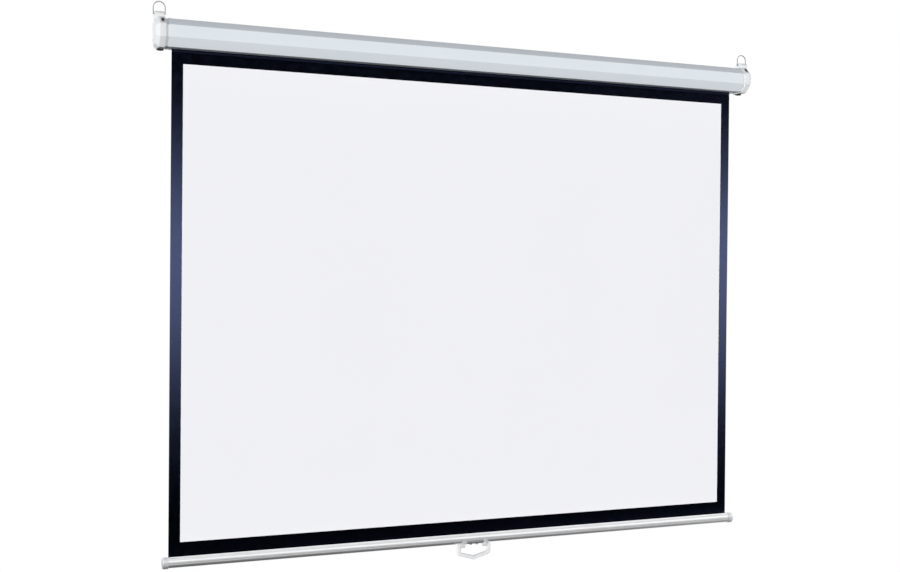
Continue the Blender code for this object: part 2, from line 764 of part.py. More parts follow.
def end_plug_profile(bore, hub):
    """The (radius, distance) loop of a plug in the roller's end, with a flange and an inner hub."""
    spigot = ROLLER_BORE - GAP
    flange = ROLLER_RADIUS + PLUG_RIM
    return [
        (bore, FLANGE_END), (flange, FLANGE_END), (flange, FLANGE_START),
        (spigot, FLANGE_START), (spigot, HUB_START), (hub, HUB_START), (hub, HUB_START - HUB_LENGTH),
        (bore, HUB_START - HUB_LENGTH),
    ]


def spring_end_plug(surface):
    """The left plug turns on the arbor; its hub drives the spring and its flange carries the pawls."""
    profile = [(radius, -x) for radius, x in end_plug_profile(ARBOR_RADIUS + GAP, SPRING_HUB)]
    shape = turned(profile, roller_axis_move(), ROUND, loop=True)
    plug = to_object("spring_end_plug", shape, surface, smooth=True)
    for number, place in enumerate(pawl_places()):
        hole = rod(PAWL_PIN_RADIUS + GAP, -FLANGE_END - GAP, -PAWL_PIN_ROOT + GAP,
                   along((1, 0, 0), (0.0, *place)), SMALL_ROUND)
        cut(plug, to_object(f"pawl_pin_hole_{number}", hole, None))
    return plug


def idler_end_plug(surface):
    bore = IDLER_RADIUS + GAP
    profile = end_plug_profile(bore, bore + IDLER_HUB_WALL)
    shape = turned(profile, roller_axis_move(), ROUND, loop=True)
    return to_object("idler_end_plug", shape, surface, smooth=True)


def idler_pin(surface):
    root = HUB_START - HUB_LENGTH
    shape = rod(IDLER_RADIUS, root, BRACKET_END + ARBOR_TIP, roller_axis_move(), SMALL_ROUND)
    return to_object("idler_pin", shape, surface, smooth=True)


def arbor(surface):
    """The fixed rod of the spring motor, flattened where the left plate holds it."""
    shape = rod(ARBOR_RADIUS, -ARBOR_END, -ARBOR_END + ARBOR_LENGTH, roller_axis_move(), SMALL_ROUND)
    piece = to_object("spring_arbor", shape, surface, smooth=True)
    for side in (-1, 1):
        near, far = sorted((ROLLER_Y + side * ARBOR_FLAT / 2, ROLLER_Y + side * 2 * ARBOR_RADIUS))
        flat = box((-ARBOR_END - GAP, near, ROLLER_Z - 2 * ARBOR_RADIUS),
                   (-BRACKET_START + 2 * GAP, far, ROLLER_Z + 2 * ARBOR_RADIUS))
        cut(piece, to_object(f"arbor_flat_{side}", flat, None))
    return piece


def torsion_spring(surface):
    """An open coil round the arbor, between the plug's hub and the anchor's."""
    start, end = -SPRING_START, -SPRING_END + SPRING_GRIP
    steps = SPRING_TURNS * SPRING_STEPS
    path, normals = [], []
    for step in range(steps + 1):
        share = step / steps
        angle = 2 * math.pi * SPRING_TURNS * share
        outward = Vector((0.0, math.cos(angle), math.sin(angle)))
        x = start + (end - start) * share
        path.append(Vector((x, ROLLER_Y, ROLLER_Z)) + outward * SPRING_RADIUS)
        normals.append(outward)
    return to_object("torsion_spring", wire(path, normals, SPRING_WIRE / 2, 6), surface, smooth=True)


def spring_anchor(surface):
    """A collar fixed on the arbor, whose hub holds the spring's inner end."""
    bore = ARBOR_RADIUS + GAP
    profile = [(bore, -SPRING_END), (SPRING_HUB, -SPRING_END), (SPRING_HUB, -ANCHOR_SHOULDER),
               (SPRING_RADIUS, -ANCHOR_SHOULDER), (SPRING_RADIUS, -ANCHOR_END), (bore, -ANCHOR_END)]
    shape = turned(profile, roller_axis_move(), SMALL_ROUND, loop=True)
    return to_object("spring_anchor", shape, surface, smooth=True)


def arbor_guide(surface):
    """A disc in the roller that steadies the arbor's inner end."""
    shape = sleeve(ROLLER_BORE - GAP, ARBOR_RADIUS + GAP, -GUIDE_START, -GUIDE_END, roller_axis_move())
    return to_object("arbor_guide", shape, surface, smooth=True)


def polar(radius, degrees):
    """A (y, z) point round the roller's axis, with 0 degrees towards the wall."""
    angle = math.radians(degrees)
    return (ROLLER_Y + radius * math.cos(angle), ROLLER_Z + radius * math.sin(angle))


def ratchet_wheel(surface):
    """A fixed wheel on the arbor, with notches that stop the roller from winding up."""
    pitch = 360 / RATCHET_NOTCHES
    land = pitch - (NOTCH_STOP - NOTCH_RAMP)
    outline = []
    for notch in range(RATCHET_NOTCHES):
        turn = notch * pitch
        start = turn + NOTCH_STOP - pitch
        outline += [polar(RATCHET_RADIUS, start + land * step / 4) for step in range(5)]
        outline.append(polar(RATCHET_FLOOR, turn + NOTCH_FOOT))
    low, high = span(RATCHET_START, RATCHET_START + RATCHET_WIDTH, -1)
    wheel = to_object("ratchet_wheel", prism_x(outline, low, high), surface)
    bore = rod(ARBOR_RADIUS + GAP, low - GAP, high + GAP, roller_axis_move(), SMALL_ROUND)
    return cut(wheel, to_object("ratchet_bore", bore, None))


def pawl_places():
    return [polar(PAWL_PIVOT, 90), polar(PAWL_PIVOT, 270)]


def pawl(name, turn, surface):
    """A lever whose nose drops into a notch; here it is lifted clear of the wheel."""
    pivot = polar(PAWL_PIVOT, 90 + turn)
    tip = RATCHET_RADIUS + PAWL_LIFT
    outline = arc(pivot, PAWL_HUB, turn - 55, turn + 150, 8)
    outline += [polar(radius, angle + turn) for radius, angle in (
        (PAWL_PIVOT, PAWL_HEEL_ANGLE),
        (tip + 2 * PAWL_NOSE - PAWL_LIFT, PAWL_BACK_ANGLE),
        (tip + PAWL_NOSE, PAWL_NOSE_ANGLE),
        (tip, PAWL_NOSE_ANGLE),
        (tip + PAWL_NOSE / 2, PAWL_HEEL_ANGLE),
    )]
    low, high = span(PAWL_START, PAWL_START + PAWL_WIDTH, -1)
    lever = to_object(name, prism_x(outline, low, high), surface)
    bore = rod(PAWL_PIN_RADIUS + GAP, low - GAP, high + GAP, along((1, 0, 0), (0.0, *pivot)), SMALL_ROUND)
    return cut(lever, to_object(f"{name}_bore", bore, None))


def pawl_pin(name, place, surface):
    head = PAWL_START + PAWL_WIDTH + GAP
    profile = [(PAWL_PIN_RADIUS, -PAWL_PIN_ROOT), (PAWL_PIN_RADIUS, -head), (PAWL_PIN_HEAD, -head),
               (PAWL_PIN_HEAD, -head - PAWL_PIN_HEAD_HEIGHT)]
    shape = turned(profile, along((1, 0, 0), (0.0, *place)), 12)
    return to_object(name, shape, surface, smooth=True)


def screen_sheet(surface):
    """The sheet from the roller to the bar, with its hem turned round the hem rod."""
    path = [(SHEET_Y, ROLLER_Z - GAP)] + arc((HEM_Y, HEM_Z), HEM_RADIUS, 0, -HEM_WRAP, 15)
    outline = ribbon(path, CLOTH / 2, CLOTH / 2)
    return to_object("screen_sheet", prism_x(outline, -FABRIC_HALF, FABRIC_HALF), surface)


def hem_rod(surface):
    axis = along((1, 0, 0), (0.0, HEM_Y, HEM_Z))
    shape = rod(HEM_ROD_RADIUS, -FABRIC_HALF, FABRIC_HALF, axis, 12)
    return to_object("hem_rod", shape, surface, smooth=True)


def bar_axis():
    return along((1, 0, 0), (0.0, BAR_Y, BAR_Z))


def weight_bar(surface):
    """A tube with a slot along its upper back, through which the sheet goes in."""
    shape = sleeve(BAR_RADIUS, BAR_BORE, -BAR_HALF, BAR_HALF, bar_axis())
    bar = to_object("weight_bar", shape, surface, smooth=True)
    half = BAR_SLOT / 2
    slot = box((-BAR_HALF - GAP, SHEET_Y - half, BAR_Z + BAR_WALL),
               (BAR_HALF + GAP, SHEET_Y + half, BAR_Z + 2 * BAR_RADIUS))
    cut(bar, to_object("bar_slot", slot, None))
    for side in (-1, 1):
        hole = rod(SCREW_RADIUS + GAP, BAR_Z - 2 * BAR_RADIUS, BAR_Z,
                   Matrix.Translation((side * HANDLE_SCREW_SPREAD, BAR_Y, 0.0)), SMALL_ROUND)
        cut(bar, to_object(f"bar_screw_hole_{side}", hole, None))
    return bar


def bar_plug(name, side, surface):
    """A rounded end plug, wider than the tube, with a spigot that stays below the hem."""
    face = BAR_HALF + GAP
    end = face + BAR_PLUG_LENGTH
    profile = [(BAR_PLUG_RADIUS, side * face)]
    corner = (BAR_PLUG_RADIUS - BAR_PLUG_ROUND, end - BAR_PLUG_ROUND)
    for radius, x in arc(corner, BAR_PLUG_ROUND, 0, 80, 4):
        profile.append((radius, side * x))
    plug = to_object(name, turned(profile, bar_axis(), ROUND), surface, smooth=True)
    radius = BAR_BORE - GAP
    top = math.degrees(math.asin(SPIGOT_TOP / radius))
    outline = arc((BAR_Y, BAR_Z), radius, 180 - top, 360 + top, 18)
    low, high = span(face - BAR_PLUG_SPIGOT, face + BAR_PLUG_ROUND, side)
    return add(plug, to_object(f"{name}_spigot", prism_x(outline, low, high), None))


def saddle_outline(inner, outer, spread):
    """A strip bent round the underside of the bar, spread in degrees each side of its lowest line."""
    start, end = 270 - spread, 270 + spread
    steps = 14
    return arc((BAR_Y, BAR_Z), outer, start, end, steps) + arc((BAR_Y, BAR_Z), inner, end, start, steps)


def handle_bracket(surface):
    """A saddle under the bar with a rounded tab and an ear for the handle's pin at each end."""
    inner = BAR_RADIUS + GAP
    saddle = saddle_outline(inner + GAP, inner + SADDLE_WALL, SADDLE_SPREAD)
    tab_top = BAR_Z - (inner + TAB_WALL) * math.cos(math.radians(TAB_SPREAD))
    tab_foot = BAR_Z - 2 * BAR_RADIUS
    front, rear = BAR_Y - 2 * BAR_RADIUS, BAR_Y + 2 * BAR_RADIUS
    bracket = to_object("handle_bracket", prism_x(saddle, -BRACKET_HALF + GAP, BRACKET_HALF - GAP), surface)
    for side in (-1, 1):
        low, high = span(BRACKET_HALF - TAB_WIDTH, BRACKET_HALF, side)
        strip = prism_x(saddle_outline(inner, inner + TAB_WALL, 90), low - TAB_WALL, high + TAB_WALL)
        face = rounded([(low, tab_foot), (high, tab_foot), (high, tab_top), (low, tab_top)],
                       [0, 0, TAB_ROUND, TAB_ROUND])
        trim = to_object(f"bracket_tab_trim_{side}", prism_y(face, front, rear), None)
        add(bracket, combine(to_object(f"bracket_tab_{side}", strip, None), trim, "INTERSECT"))
        low, high = span(BRACKET_HALF - EAR_WIDTH, BRACKET_HALF + GAP / 2, side)
        crown = BAR_Z - inner - SADDLE_WALL / 2
        ear = arc((BAR_Y, HANDLE_Z), EAR_ROUND, 180, 360, 10)
        ear += [(BAR_Y + EAR_ROUND, crown), (BAR_Y - EAR_ROUND, crown)]
        add(bracket, to_object(f"bracket_ear_{side}", prism_x(ear, low, high), None))
        low, high = span(BRACKET_HALF - HANDLE_PIN_LENGTH, BRACKET_HALF + 2 * GAP, side)
        bore = rod(HANDLE_PIN + GAP, low, high, along((1, 0, 0), (0.0, BAR_Y, HANDLE_Z)), SMALL_ROUND)
        cut(bracket, to_object(f"bracket_bore_{side}", bore, None))
        hole = rod(SCREW_RADIUS + GAP, BAR_Z - 2 * BAR_RADIUS, BAR_Z,
                   Matrix.Translation((side * HANDLE_SCREW_SPREAD, BAR_Y, 0.0)), SMALL_ROUND)
        cut(bracket, to_object(f"bracket_screw_hole_{side}", hole, None))
    return bracket


def handle_outline():
    """A shield-shaped loop, open at the top between its two arms, as (x, z)."""
    outer, inner = HANDLE_HALF_WIDTH, HANDLE_GAP_HALF
    top = HANDLE_Z + HANDLE_ARM
    side = HANDLE_Z - HANDLE_SIDE
    shoulder = HANDLE_Z - HANDLE_SHOULDER
    apex = HANDLE_Z - HANDLE_APEX
    lean = HANDLE_HALF_WIDTH - HANDLE_BAND / 4
    slope = (shoulder - apex) / lean
    inner_apex = apex + HANDLE_BAND * math.hypot(1, slope)
    inner_shoulder = inner_apex + slope * inner
    corners = [
        (-outer, top), (-outer, side), (-lean, shoulder), (0.0, apex), (lean, shoulder), (outer, side),
        (outer, top), (inner, top), (inner, inner_shoulder), (0.0, inner_apex), (-inner, inner_shoulder),
        (-inner, top),
    ]
    end, bend, corner, inside = HANDLE_END_ROUND, HANDLE_SIDE_ROUND, HANDLE_CORNER_ROUND, HANDLE_INNER_ROUND
    shares = [end, bend, corner, inside, corner, bend, end, end, inside, inside, inside, end]
    return rounded(corners, [HANDLE_BAND * share for share in shares], 3)


def pull_handle(surface):
    half = HANDLE_THICKNESS / 2
    shape = prism_y(handle_outline(), BAR_Y - half, BAR_Y + half)
    handle = to_object("pull_handle", shape, surface, smooth=True)
    round_edges(handle, HANDLE_EDGE, 2)
    for side in (-1, 1):
        reach = BRACKET_HALF - HANDLE_PIN_LENGTH + GAP
        low, high = span(reach, HANDLE_GAP_HALF + HANDLE_BAND / 2, side)
        pin = rod(HANDLE_PIN, low, high, along((1, 0, 0), (0.0, BAR_Y, HANDLE_Z)), SMALL_ROUND)
        add(handle, to_object(f"handle_pin_{side}", pin, None))
    return handle


def build_case(looks):
    case_shell(looks["painted_case"])
    for side, name in ((-1, "left"), (1, "right")):
        end_cap(f"{name}_end_cap", side, looks["white_plastic"])
        hanger_lug(f"{name}_hanger_lug", side, looks["white_plastic"])
        axis = joint_empty(f"{name}_ring_axis", (side * RING_X, RING_Y, RING_Z))
        hang_from(hanging_ring(f"{name}_hanging_ring", side, looks["ring_steel"]), axis)
        foot_plug(f"{name}_foot_plug", side, looks["black_rubber"])
        blank_plug(f"{name}_blank_plug", side, looks["black_rubber"])
        screw(f"{name}_lug_screw", (side * LUG_SCREW_X, RING_Y, CAP_TOP - CAP_WALL - GAP), (0, 0, -1),
              LUG_SCREW_LENGTH, looks["zinc_steel"])
        for number, depth in enumerate(case_screw_depths(), 1):
            screw(f"{name}_case_screw_{number}", (side * case_screw_x(), depth, CASE_TOP + GAP), (0, 0, 1),
                  CASE_SCREW_LENGTH, looks["zinc_steel"])
        for number, (depth, height) in enumerate(boss_places(), 1):
            seat = (side * (BRACKET_START - GAP), depth, height)
            screw(f"{name}_bracket_screw_{number}", seat, (-side, 0, 0), BRACKET_SCREW_LENGTH,
                  looks["zinc_steel"])
    left_bracket(looks["zinc_steel"])
    right_bracket(looks["zinc_steel"])
    idler_bush(looks["nylon"])


def build_motor(looks):
    """The fixed side of the spring motor."""
    arbor(looks["steel_rod"])
    ratchet_wheel(looks["zinc_steel"])
    spring_anchor(looks["nylon"])
    torsion_spring(looks["spring_steel"])


def build_roller(looks):
    axis = joint_empty("roller_axis", (0.0, ROLLER_Y, ROLLER_Z))
    hang_from(roller_tube(looks["zinc_steel"]), axis)
    hang_from(wrapped_cloth(looks["screen_cloth"]), axis)
    hang_from(spring_end_plug(looks["nylon"]), axis)
    hang_from(idler_end_plug(looks["nylon"]), axis)
    hang_from(idler_pin(looks["steel_rod"]), axis)
    hang_from(arbor_guide(looks["nylon"]), axis)
    for number, (turn, place) in enumerate(zip((0, 180), pawl_places()), 1):
        hang_from(pawl_pin(f"pawl_pin_{number}", place, looks["steel_rod"]), axis)
        pivot = joint_empty(f"pawl_axis_{number}", (-PAWL_START, *place))
        hang_from(pivot, axis)
        hang_from(pawl(f"pawl_{number}", turn, looks["zinc_steel"]), pivot)


def build_screen(looks):
    axis = joint_empty("screen_axis", (0.0, BAR_Y, BAR_Z))
    hang_from(screen_sheet(looks["screen_cloth"]), axis)
    hang_from(hem_rod(looks["steel_rod"]), axis)
    hang_from(weight_bar(looks["painted_bar"]), axis)
    for side, name in ((-1, "left"), (1, "right")):
        hang_from(bar_plug(f"{name}_bar_plug", side, looks["white_plastic"]), axis)
    hang_from(handle_bracket(looks["white_plastic"]), axis)
    for number, side in enumerate((-1, 1), 1):
        head = BAR_Z - BAR_RADIUS - GAP - SADDLE_WALL - GAP
        fastener = screw(f"handle_screw_{number}", (side * HANDLE_SCREW_SPREAD, BAR_Y, head), (0, 0, -1),
                         HANDLE_SCREW_LENGTH, looks["zinc_steel"])
        hang_from(fastener, axis)
    pivot = joint_empty("handle_axis", (0.0, BAR_Y, HANDLE_Z))
    hang_from(pivot, axis)
    hang_from(pull_handle(looks["white_plastic"]), pivot)


def main():
    clear_scene()
    looks = finishes()
    build_case(looks)
    build_motor(looks)
    build_roller(looks)
    build_screen(looks)


main()
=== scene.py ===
"""Looks of the pull-down projector screen: finished pieces, surfaces, lights and camera.

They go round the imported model. Metres, in its frame: the case's flat back lies at y = 0, +X runs
along the case and the front faces -Y. Places come from the frame's boxes; sizes that a box doesn't
give are named below.
"""
import math

import bmesh
import bpy
from mathutils import Matrix, Vector, noise


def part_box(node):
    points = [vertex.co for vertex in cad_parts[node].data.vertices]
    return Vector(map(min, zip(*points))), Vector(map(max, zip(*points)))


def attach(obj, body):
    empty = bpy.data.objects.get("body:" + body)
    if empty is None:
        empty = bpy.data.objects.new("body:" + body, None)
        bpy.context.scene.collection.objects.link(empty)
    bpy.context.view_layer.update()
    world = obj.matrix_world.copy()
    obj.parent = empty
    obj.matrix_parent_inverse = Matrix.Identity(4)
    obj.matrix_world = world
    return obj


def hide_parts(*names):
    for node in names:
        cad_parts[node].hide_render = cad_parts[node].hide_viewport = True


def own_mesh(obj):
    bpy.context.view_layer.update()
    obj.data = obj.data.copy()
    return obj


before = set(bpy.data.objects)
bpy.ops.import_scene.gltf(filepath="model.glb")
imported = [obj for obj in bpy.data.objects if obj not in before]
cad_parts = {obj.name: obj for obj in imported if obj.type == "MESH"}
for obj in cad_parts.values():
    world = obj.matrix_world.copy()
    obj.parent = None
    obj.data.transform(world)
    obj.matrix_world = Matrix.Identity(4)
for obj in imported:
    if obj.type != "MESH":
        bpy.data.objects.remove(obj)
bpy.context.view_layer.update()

# Camera, solved from the photograph; angles in radians, lens and sensor in millimetres
CAMERA_PLACE = (-1.27726, -3.00917, -0.59337)
CAMERA_YAW = -0.38228
CAMERA_PITCH = -0.009
CAMERA_ROLL = -0.00878
CAMERA_LENS = 47.087
CAMERA_SENSOR = 36.0
CAMERA_REACH = 60

# Case: the bent sheet, and the play between neighbouring pieces
GAP = 0.0003
CASE_WALL = 0.001
CASE_BEND = 0.0020
LIP_BEND = CASE_WALL * 1.3
FRONT_CHAMFER = 0.020
UPPER_CHAMFER_HEIGHT = 0.0185
LOWER_CHAMFER_HEIGHT = 0.0217
REAR_CHAMFER = 0.006
SLOT_WIDTH = 0.010
SLOT_LIP = 0.005

# End caps, with their bosses
CAP_WALL = 0.0025
CAP_COLLAR = 0.006
COLLAR_DEPTH = 0.0011
CAP_BODY = 0.015
CAP_NOSE_RISE = 0.009
CAP_NOSE_BACK = 0.002
CAP_PLUG = 0.012
CAP_PLUG_WALL = 0.002
CAP_CORNER = 0.0026
CAP_FILLET = 0.0009
NOSE_FACE_ROUND = 1.4 * CAP_FILLET
NOSE_ROUND = 1.6 * CAP_FILLET
BODY_ROUND = 0.7 * CAP_FILLET
COLLAR_ROUND = 0.3 * CAP_FILLET
NOSE_FACE_MARGIN = 3 * CAP_FILLET
BOSS_RADIUS = 0.0045
BOSS_TO_WALL = 0.013
BOSS_HEIGHT = 0.021

# Lugs, rings, feet and the plugs in the caps' slopes
LUG_ROUND = 0.008
LUG_FOOT = 0.0016
LUG_FILLET = 0.0011
LUG_COUNTERSINK = 0.0008
RING_CORNER = 0.0024
FOOT_STEM = 0.005
FOOT_FACE = 0.0077
FOOT_CENTRE = 0.0015
FOOT_DISH = 0.0005
FOOT_RIM = ((0.0025, FOOT_DISH), (0.0015, 0.0), (0.0004, 0.0), (0.0, 0.0001))  # (inset, rise)
FOOT_ROUND = 0.0012
FOOT_ROUND_RISE = 0.0014
FOOT_ROUND_START = -60
BLANK_LENGTH = 0.015
BLANK_WIDTH = 0.007
BLANK_HEAD = 0.001
BLANK_RIM = 0.001
BLANK_FILLET = 0.0007

# Cloth
CLOTH = 0.0005
CLOTH_GRID = 0.026
IMAGE_HALF = 0.800
IMAGE_HEIGHT = 1.200
TOP_BORDER = 0.0349
HEM_RADIUS = 0.00305
HEM_WRAP = 300.0
WRAP_TURNS = 2
WRAP_PITCH = 0.0007
RIPPLE = 0.0011
RIPPLE_ACROSS = 3.1
RIPPLE_DOWN = 1.3
RIPPLE_SEED = 4.0
CURL = 0.0011
CURL_START = 0.9
CURL_WIDTH = 0.1
WEAVE_PITCH = 0.0009

# Weight bar, with its end knobs
BAR_WALL = 0.0015
BAR_SLOT = 0.003
BAR_PLUG_ROUND = 0.004
BAR_PLUG_SPIGOT = 0.014
SPIGOT_TOP = 0.002
KNOB_EDGE = 0.0005
KNOB_GROOVE = ((0.0024, 0.0), (0.0027, 0.0004), (0.0034, 0.0004), (0.0037, 0.0))  # (along, depth)
KNOB_FACE_MARGIN = 0.0006
KNOB_CENTRE = 0.002

# Handle, and the clip that holds it under the bar; spreads in degrees from the bar's lowest line
HANDLE_BAND = 0.0105
HANDLE_ARM = 0.0043
HANDLE_SIDE = 0.020
HANDLE_SHOULDER = 0.0265
HANDLE_FILLET = 0.0024
HANDLE_PIN = 0.003
HANDLE_PIN_LENGTH = 0.009
HANDLE_SCREW_SPREAD = 0.009
SADDLE_WALL = 0.0018
SADDLE_SPREAD = 55.0
SADDLE_FILLET = 0.0003
TAB_WALL = 0.0022
TAB_WIDTH = 0.0135
TAB_SPREAD = 72.0
TAB_REACH = 90
TAB_ROUND = 0.005
EAR_WIDTH = 0.012
EAR_ROUND = 0.0055
EAR_FILLET = 0.0005
SCREW_HOLE = 0.0019

# Brightness that glossy surfaces reflect, by elevation in degrees: straight in front of the screen,
# to the right, and elsewhere; the sectors are ranges of a direction's Y and X
ROOM_FRONT = (
    (-90, 0.0), (-58, 0.05), (-40, 0.65), (-24, 0.75), (-18, 0.0), (-11, 0.0), (-9, 0.02),
    (-7.3, 0.07), (-5.3, 0.26), (-3.4, 0.66), (-1.4, 1.05), (0.8, 1.24), (2.5, 1.06), (4.5, 0.54),
    (6.4, 0.18), (8.4, 0.0), (13.5, 0.0), (17.5, 1.25), (70, 1.22), (90, 1.22))
ROOM_RIGHT = (
    (-90, 0.03), (-60, 0.09), (-50, 0.28), (-36, 0.60), (-15, 0.72), (-4, 1.22), (10, 1.15),
    (45, 1.25), (55, 0.6), (69, 0.6), (75, 1.30), (90, 1.35))
ROOM_AROUND = (
    (-90, 0.03), (-50, 0.06), (-15, 0.40), (-4, 1.15), (10, 1.15), (45, 1.25), (55, 0.6),
    (69, 0.6), (75, 1.30), (90, 1.35))
FRONT_SECTOR = (-0.78, -0.60)
RIGHT_SECTOR = (0.40, 0.56)
AMBIENT_BELOW = (0.012, 0.012, 0.012)
AMBIENT_ABOVE = (0.000, 0.005, 0.020)
WHITE = (1.0, 1.0, 1.0)

# Wide, distant lights: name, where each comes from, strength, colour and width in degrees
SUNS = (
    ("front_light", (0.08, -1.0, -0.12), 1.94, WHITE, 10),
    ("left_light", (-0.85, -0.53, -0.08), 2.13, (0.98, 0.99, 1.0), 6),
    ("left_rim", (-0.866, 0.5, 0.0), 1.2, (0.94, 0.97, 1.0), 20),
    ("right_rim", (0.93, 0.36, 0.05), 1.6, (1.0, 0.99, 0.97), 20),
    ("back_light", (0.25, 0.82, 0.50), 2.3, (0.97, 0.98, 1.0), 12),
)

# Floor
FLOOR_CORNERS = ((-3.2, -3.0), (3.2, -3.0), (3.2, 1.8), (-3.2, 1.8))
FLOOR_LEVEL = -2.2
FLOOR_GLOW = 0.55

# How finely round shapes are drawn: steps of an arc, sides of a whole circle
CORNER_STEPS = 7
FILLET_STEPS = 5
END_STEPS = 12
RING_CORNER_STEPS = 8
RING_CROWN_STEPS = 56
EAR_STEPS = 24
BENT_STEPS = 40
SPIGOT_STEPS = 48
BAR_STEPS = 140
HANDLE_CORNER_STEPS = 9
HANDLE_FILLET_STEPS = 7
ROUND = 96
PLUG_SIDES = 48
HOLE_SIDES = 32
WIRE_SIDES = 24

# Degrees between faces from which an edge looks hard: as a rule, on bent sheet, soft parts and wire
SHARP = 32
BENT_SHARP = 25
SOFT_SHARP = 40
WIRE_SHARP = 60

# Limits of the shape tools
WELD = 0.000003
FILLET_HOLD = 1.15
MITRE_LIMIT = 0.5
FACING = 0.5

# Textures: radians per unit of a wave at scale 1, and the range where noise mostly lies
WAVE_RATE = 20
NOISE_LOW = 0.3
NOISE_HIGH = 0.7

# Places read from the frame
case_low, case_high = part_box("case_shell")
cap_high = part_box("right_end_cap")[1]
lug_low, lug_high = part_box("right_hanger_lug")
ring_low, ring_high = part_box("right_hanging_ring")
foot_low, foot_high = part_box("right_foot_plug")
sheet_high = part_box("screen_sheet")[1]
roller_low, roller_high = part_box("roller_tube")
hem_rod_low, hem_rod_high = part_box("hem_rod")
bar_low, bar_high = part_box("weight_bar")
plug_low, plug_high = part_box("right_bar_plug")
handle_low, handle_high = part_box("pull_handle")
bracket_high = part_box("handle_bracket")[1]
plate_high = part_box("right_bracket")[1]

CASE_HALF = case_high.x
CASE_TOP = case_high.z
CASE_DEPTH = -case_low.y
CAP_START = CASE_HALF + GAP
COLLAR_END = CAP_START + CAP_COLLAR
NOSE_START = COLLAR_END + CAP_BODY
CAP_END = cap_high.x
CAP_TOP = cap_high.z
CAP_PROUD = CAP_TOP - CASE_TOP
LUG_BASE = CAP_TOP + GAP
RING_X = (ring_low.x + ring_high.x) / 2
RING_Y = (ring_low.y + ring_high.y) / 2
RING_WIRE = ring_high.y - ring_low.y
RING_Z = ring_low.z + RING_WIRE / 2
SHEET_Y = sheet_high.y - CLOTH / 2
SHEET_HALF = sheet_high.x
SHEET_TOP = sheet_high.z
IMAGE_TOP = -CASE_TOP - TOP_BORDER
IMAGE_BOTTOM = IMAGE_TOP - IMAGE_HEIGHT
HEM_Y = (hem_rod_low.y + hem_rod_high.y) / 2
HEM_Z = (hem_rod_low.z + hem_rod_high.z) / 2
ROLLER_Y = (roller_low.y + roller_high.y) / 2
ROLLER_Z = (roller_low.z + roller_high.z) / 2
WRAP_OUTER = SHEET_Y - ROLLER_Y
BAR_Y = (bar_low.y + bar_high.y) / 2
BAR_Z = (bar_low.z + bar_high.z) / 2
BAR_RADIUS = (bar_high.y - bar_low.y) / 2
BAR_HALF = bar_high.x
BAR_PLUG_RADIUS = (plug_high.y - plug_low.y) / 2
BAR_PLUG_END = plug_high.x
HANDLE_HALF = handle_high.x
HANDLE_THICKNESS = handle_high.y - handle_low.y
HANDLE_Z = handle_high.z - HANDLE_ARM
HANDLE_GAP_HALF = HANDLE_HALF - HANDLE_BAND
BRACKET_HALF = bracket_high.x - GAP / 2
SIDES = ((-1, "left"), (1, "right"))


# Shapes

def arc(centre, radius, start, end, steps):
    """Points of an arc in a plane, with its angles in degrees."""
    points = []
    for step in range(steps + 1):
        angle = math.radians(start + (end - start) * step / steps)
        points.append((centre[0] + radius * math.cos(angle), centre[1] + radius * math.sin(angle)))
    return points


def rounded(corners, radii, steps=CORNER_STEPS, closed=True):
    """An outline or open path with an arc at each corner; a radius of 0 keeps the corner."""
    points = []
    for index, corner in enumerate(corners):
        here = Vector(corner)
        radius = radii[index]
        at_end = not closed and index in (0, len(corners) - 1)
        if radius == 0 or at_end:
            points.append(tuple(here))
            continue
        before = (Vector(corners[index - 1]) - here).normalized()
        after = (Vector(corners[(index + 1) % len(corners)]) - here).normalized()
        half = before.angle(after) / 2
        middle = here + (before + after).normalized() * (radius / math.sin(half))
        reach = radius / math.tan(half)
        start = here + before * reach - middle
        swing = start.angle_signed(here + after * reach - middle)
        for step in range(steps + 1):
            points.append(tuple(middle + Matrix.Rotation(-swing * step / steps, 2) @ start))
    return points


def offset_outline(corners, distances):
    """A convex outline, run anticlockwise, with each side moved outwards by its own distance."""
    count = len(corners)
    lines = []
    for index in range(count):
        start = Vector(corners[index])
        run = (Vector(corners[(index + 1) % count]) - start).normalized()
        lines.append((start + Vector((run.y, -run.x)) * distances[index], run))
    result = []
    for index in range(count):
        start, run = lines[index - 1]
        other, other_run = lines[index]
        apart = other - start
        cross = run.x * other_run.y - run.y * other_run.x
        share = (apart.x * other_run.y - apart.y * other_run.x) / cross
        result.append(tuple(start + run * share))
    return result


def inset_outline(points, distance):
    """An outline, run anticlockwise, with every point moved inwards along its own normal."""
    result = []
    for index, point in enumerate(points):
        before = (Vector(point) - Vector(points[index - 1])).normalized()
        after = (Vector(points[(index + 1) % len(points)]) - Vector(point)).normalized()
        course = (before + after).normalized()
        inward = Vector((-course.y, course.x))
        reach = distance / max(before.dot(course), MITRE_LIMIT)
        result.append(tuple(Vector(point) + inward * reach))
    return result


def ribbon(path, right, left):
    """The outline of a strip along a path, with its thickness to the right and to the left."""
    points = [Vector(point) for point in path]
    runs = [(b - a).normalized() for a, b in zip(points, points[1:])]
    sides = [Vector((run.y, -run.x)) for run in runs]
    corners = [sides[0]]
    for before, after in zip(sides, sides[1:]):
        corners.append((before + after) / (1 + before.dot(after)))
    corners.append(sides[-1])
    there = [tuple(point + corner * right) for point, corner in zip(points, corners)]
    back = [tuple(point - corner * left) for point, corner in zip(points, corners)]
    return there + back[::-1]


def oblong(length, width):
    """A slot-shaped outline, long in its first direction."""
    reach = (length - width) / 2
    right = arc((reach, 0.0), width / 2, -90, 90, END_STEPS)
    return right + arc((-reach, 0.0), width / 2, 90, 270, END_STEPS)


def fillet(height, radius, steps=FILLET_STEPS):
    """(inset, height) of a quarter round from a side to a top face, and a line that holds it."""
    pairs = []
    for step in range(steps + 1):
        angle = math.radians(90 * step / steps)
        pairs.append((radius * (1 - math.cos(angle)), height - radius * (1 - math.sin(angle))))
    pairs.append((radius * FILLET_HOLD, height))
    return pairs


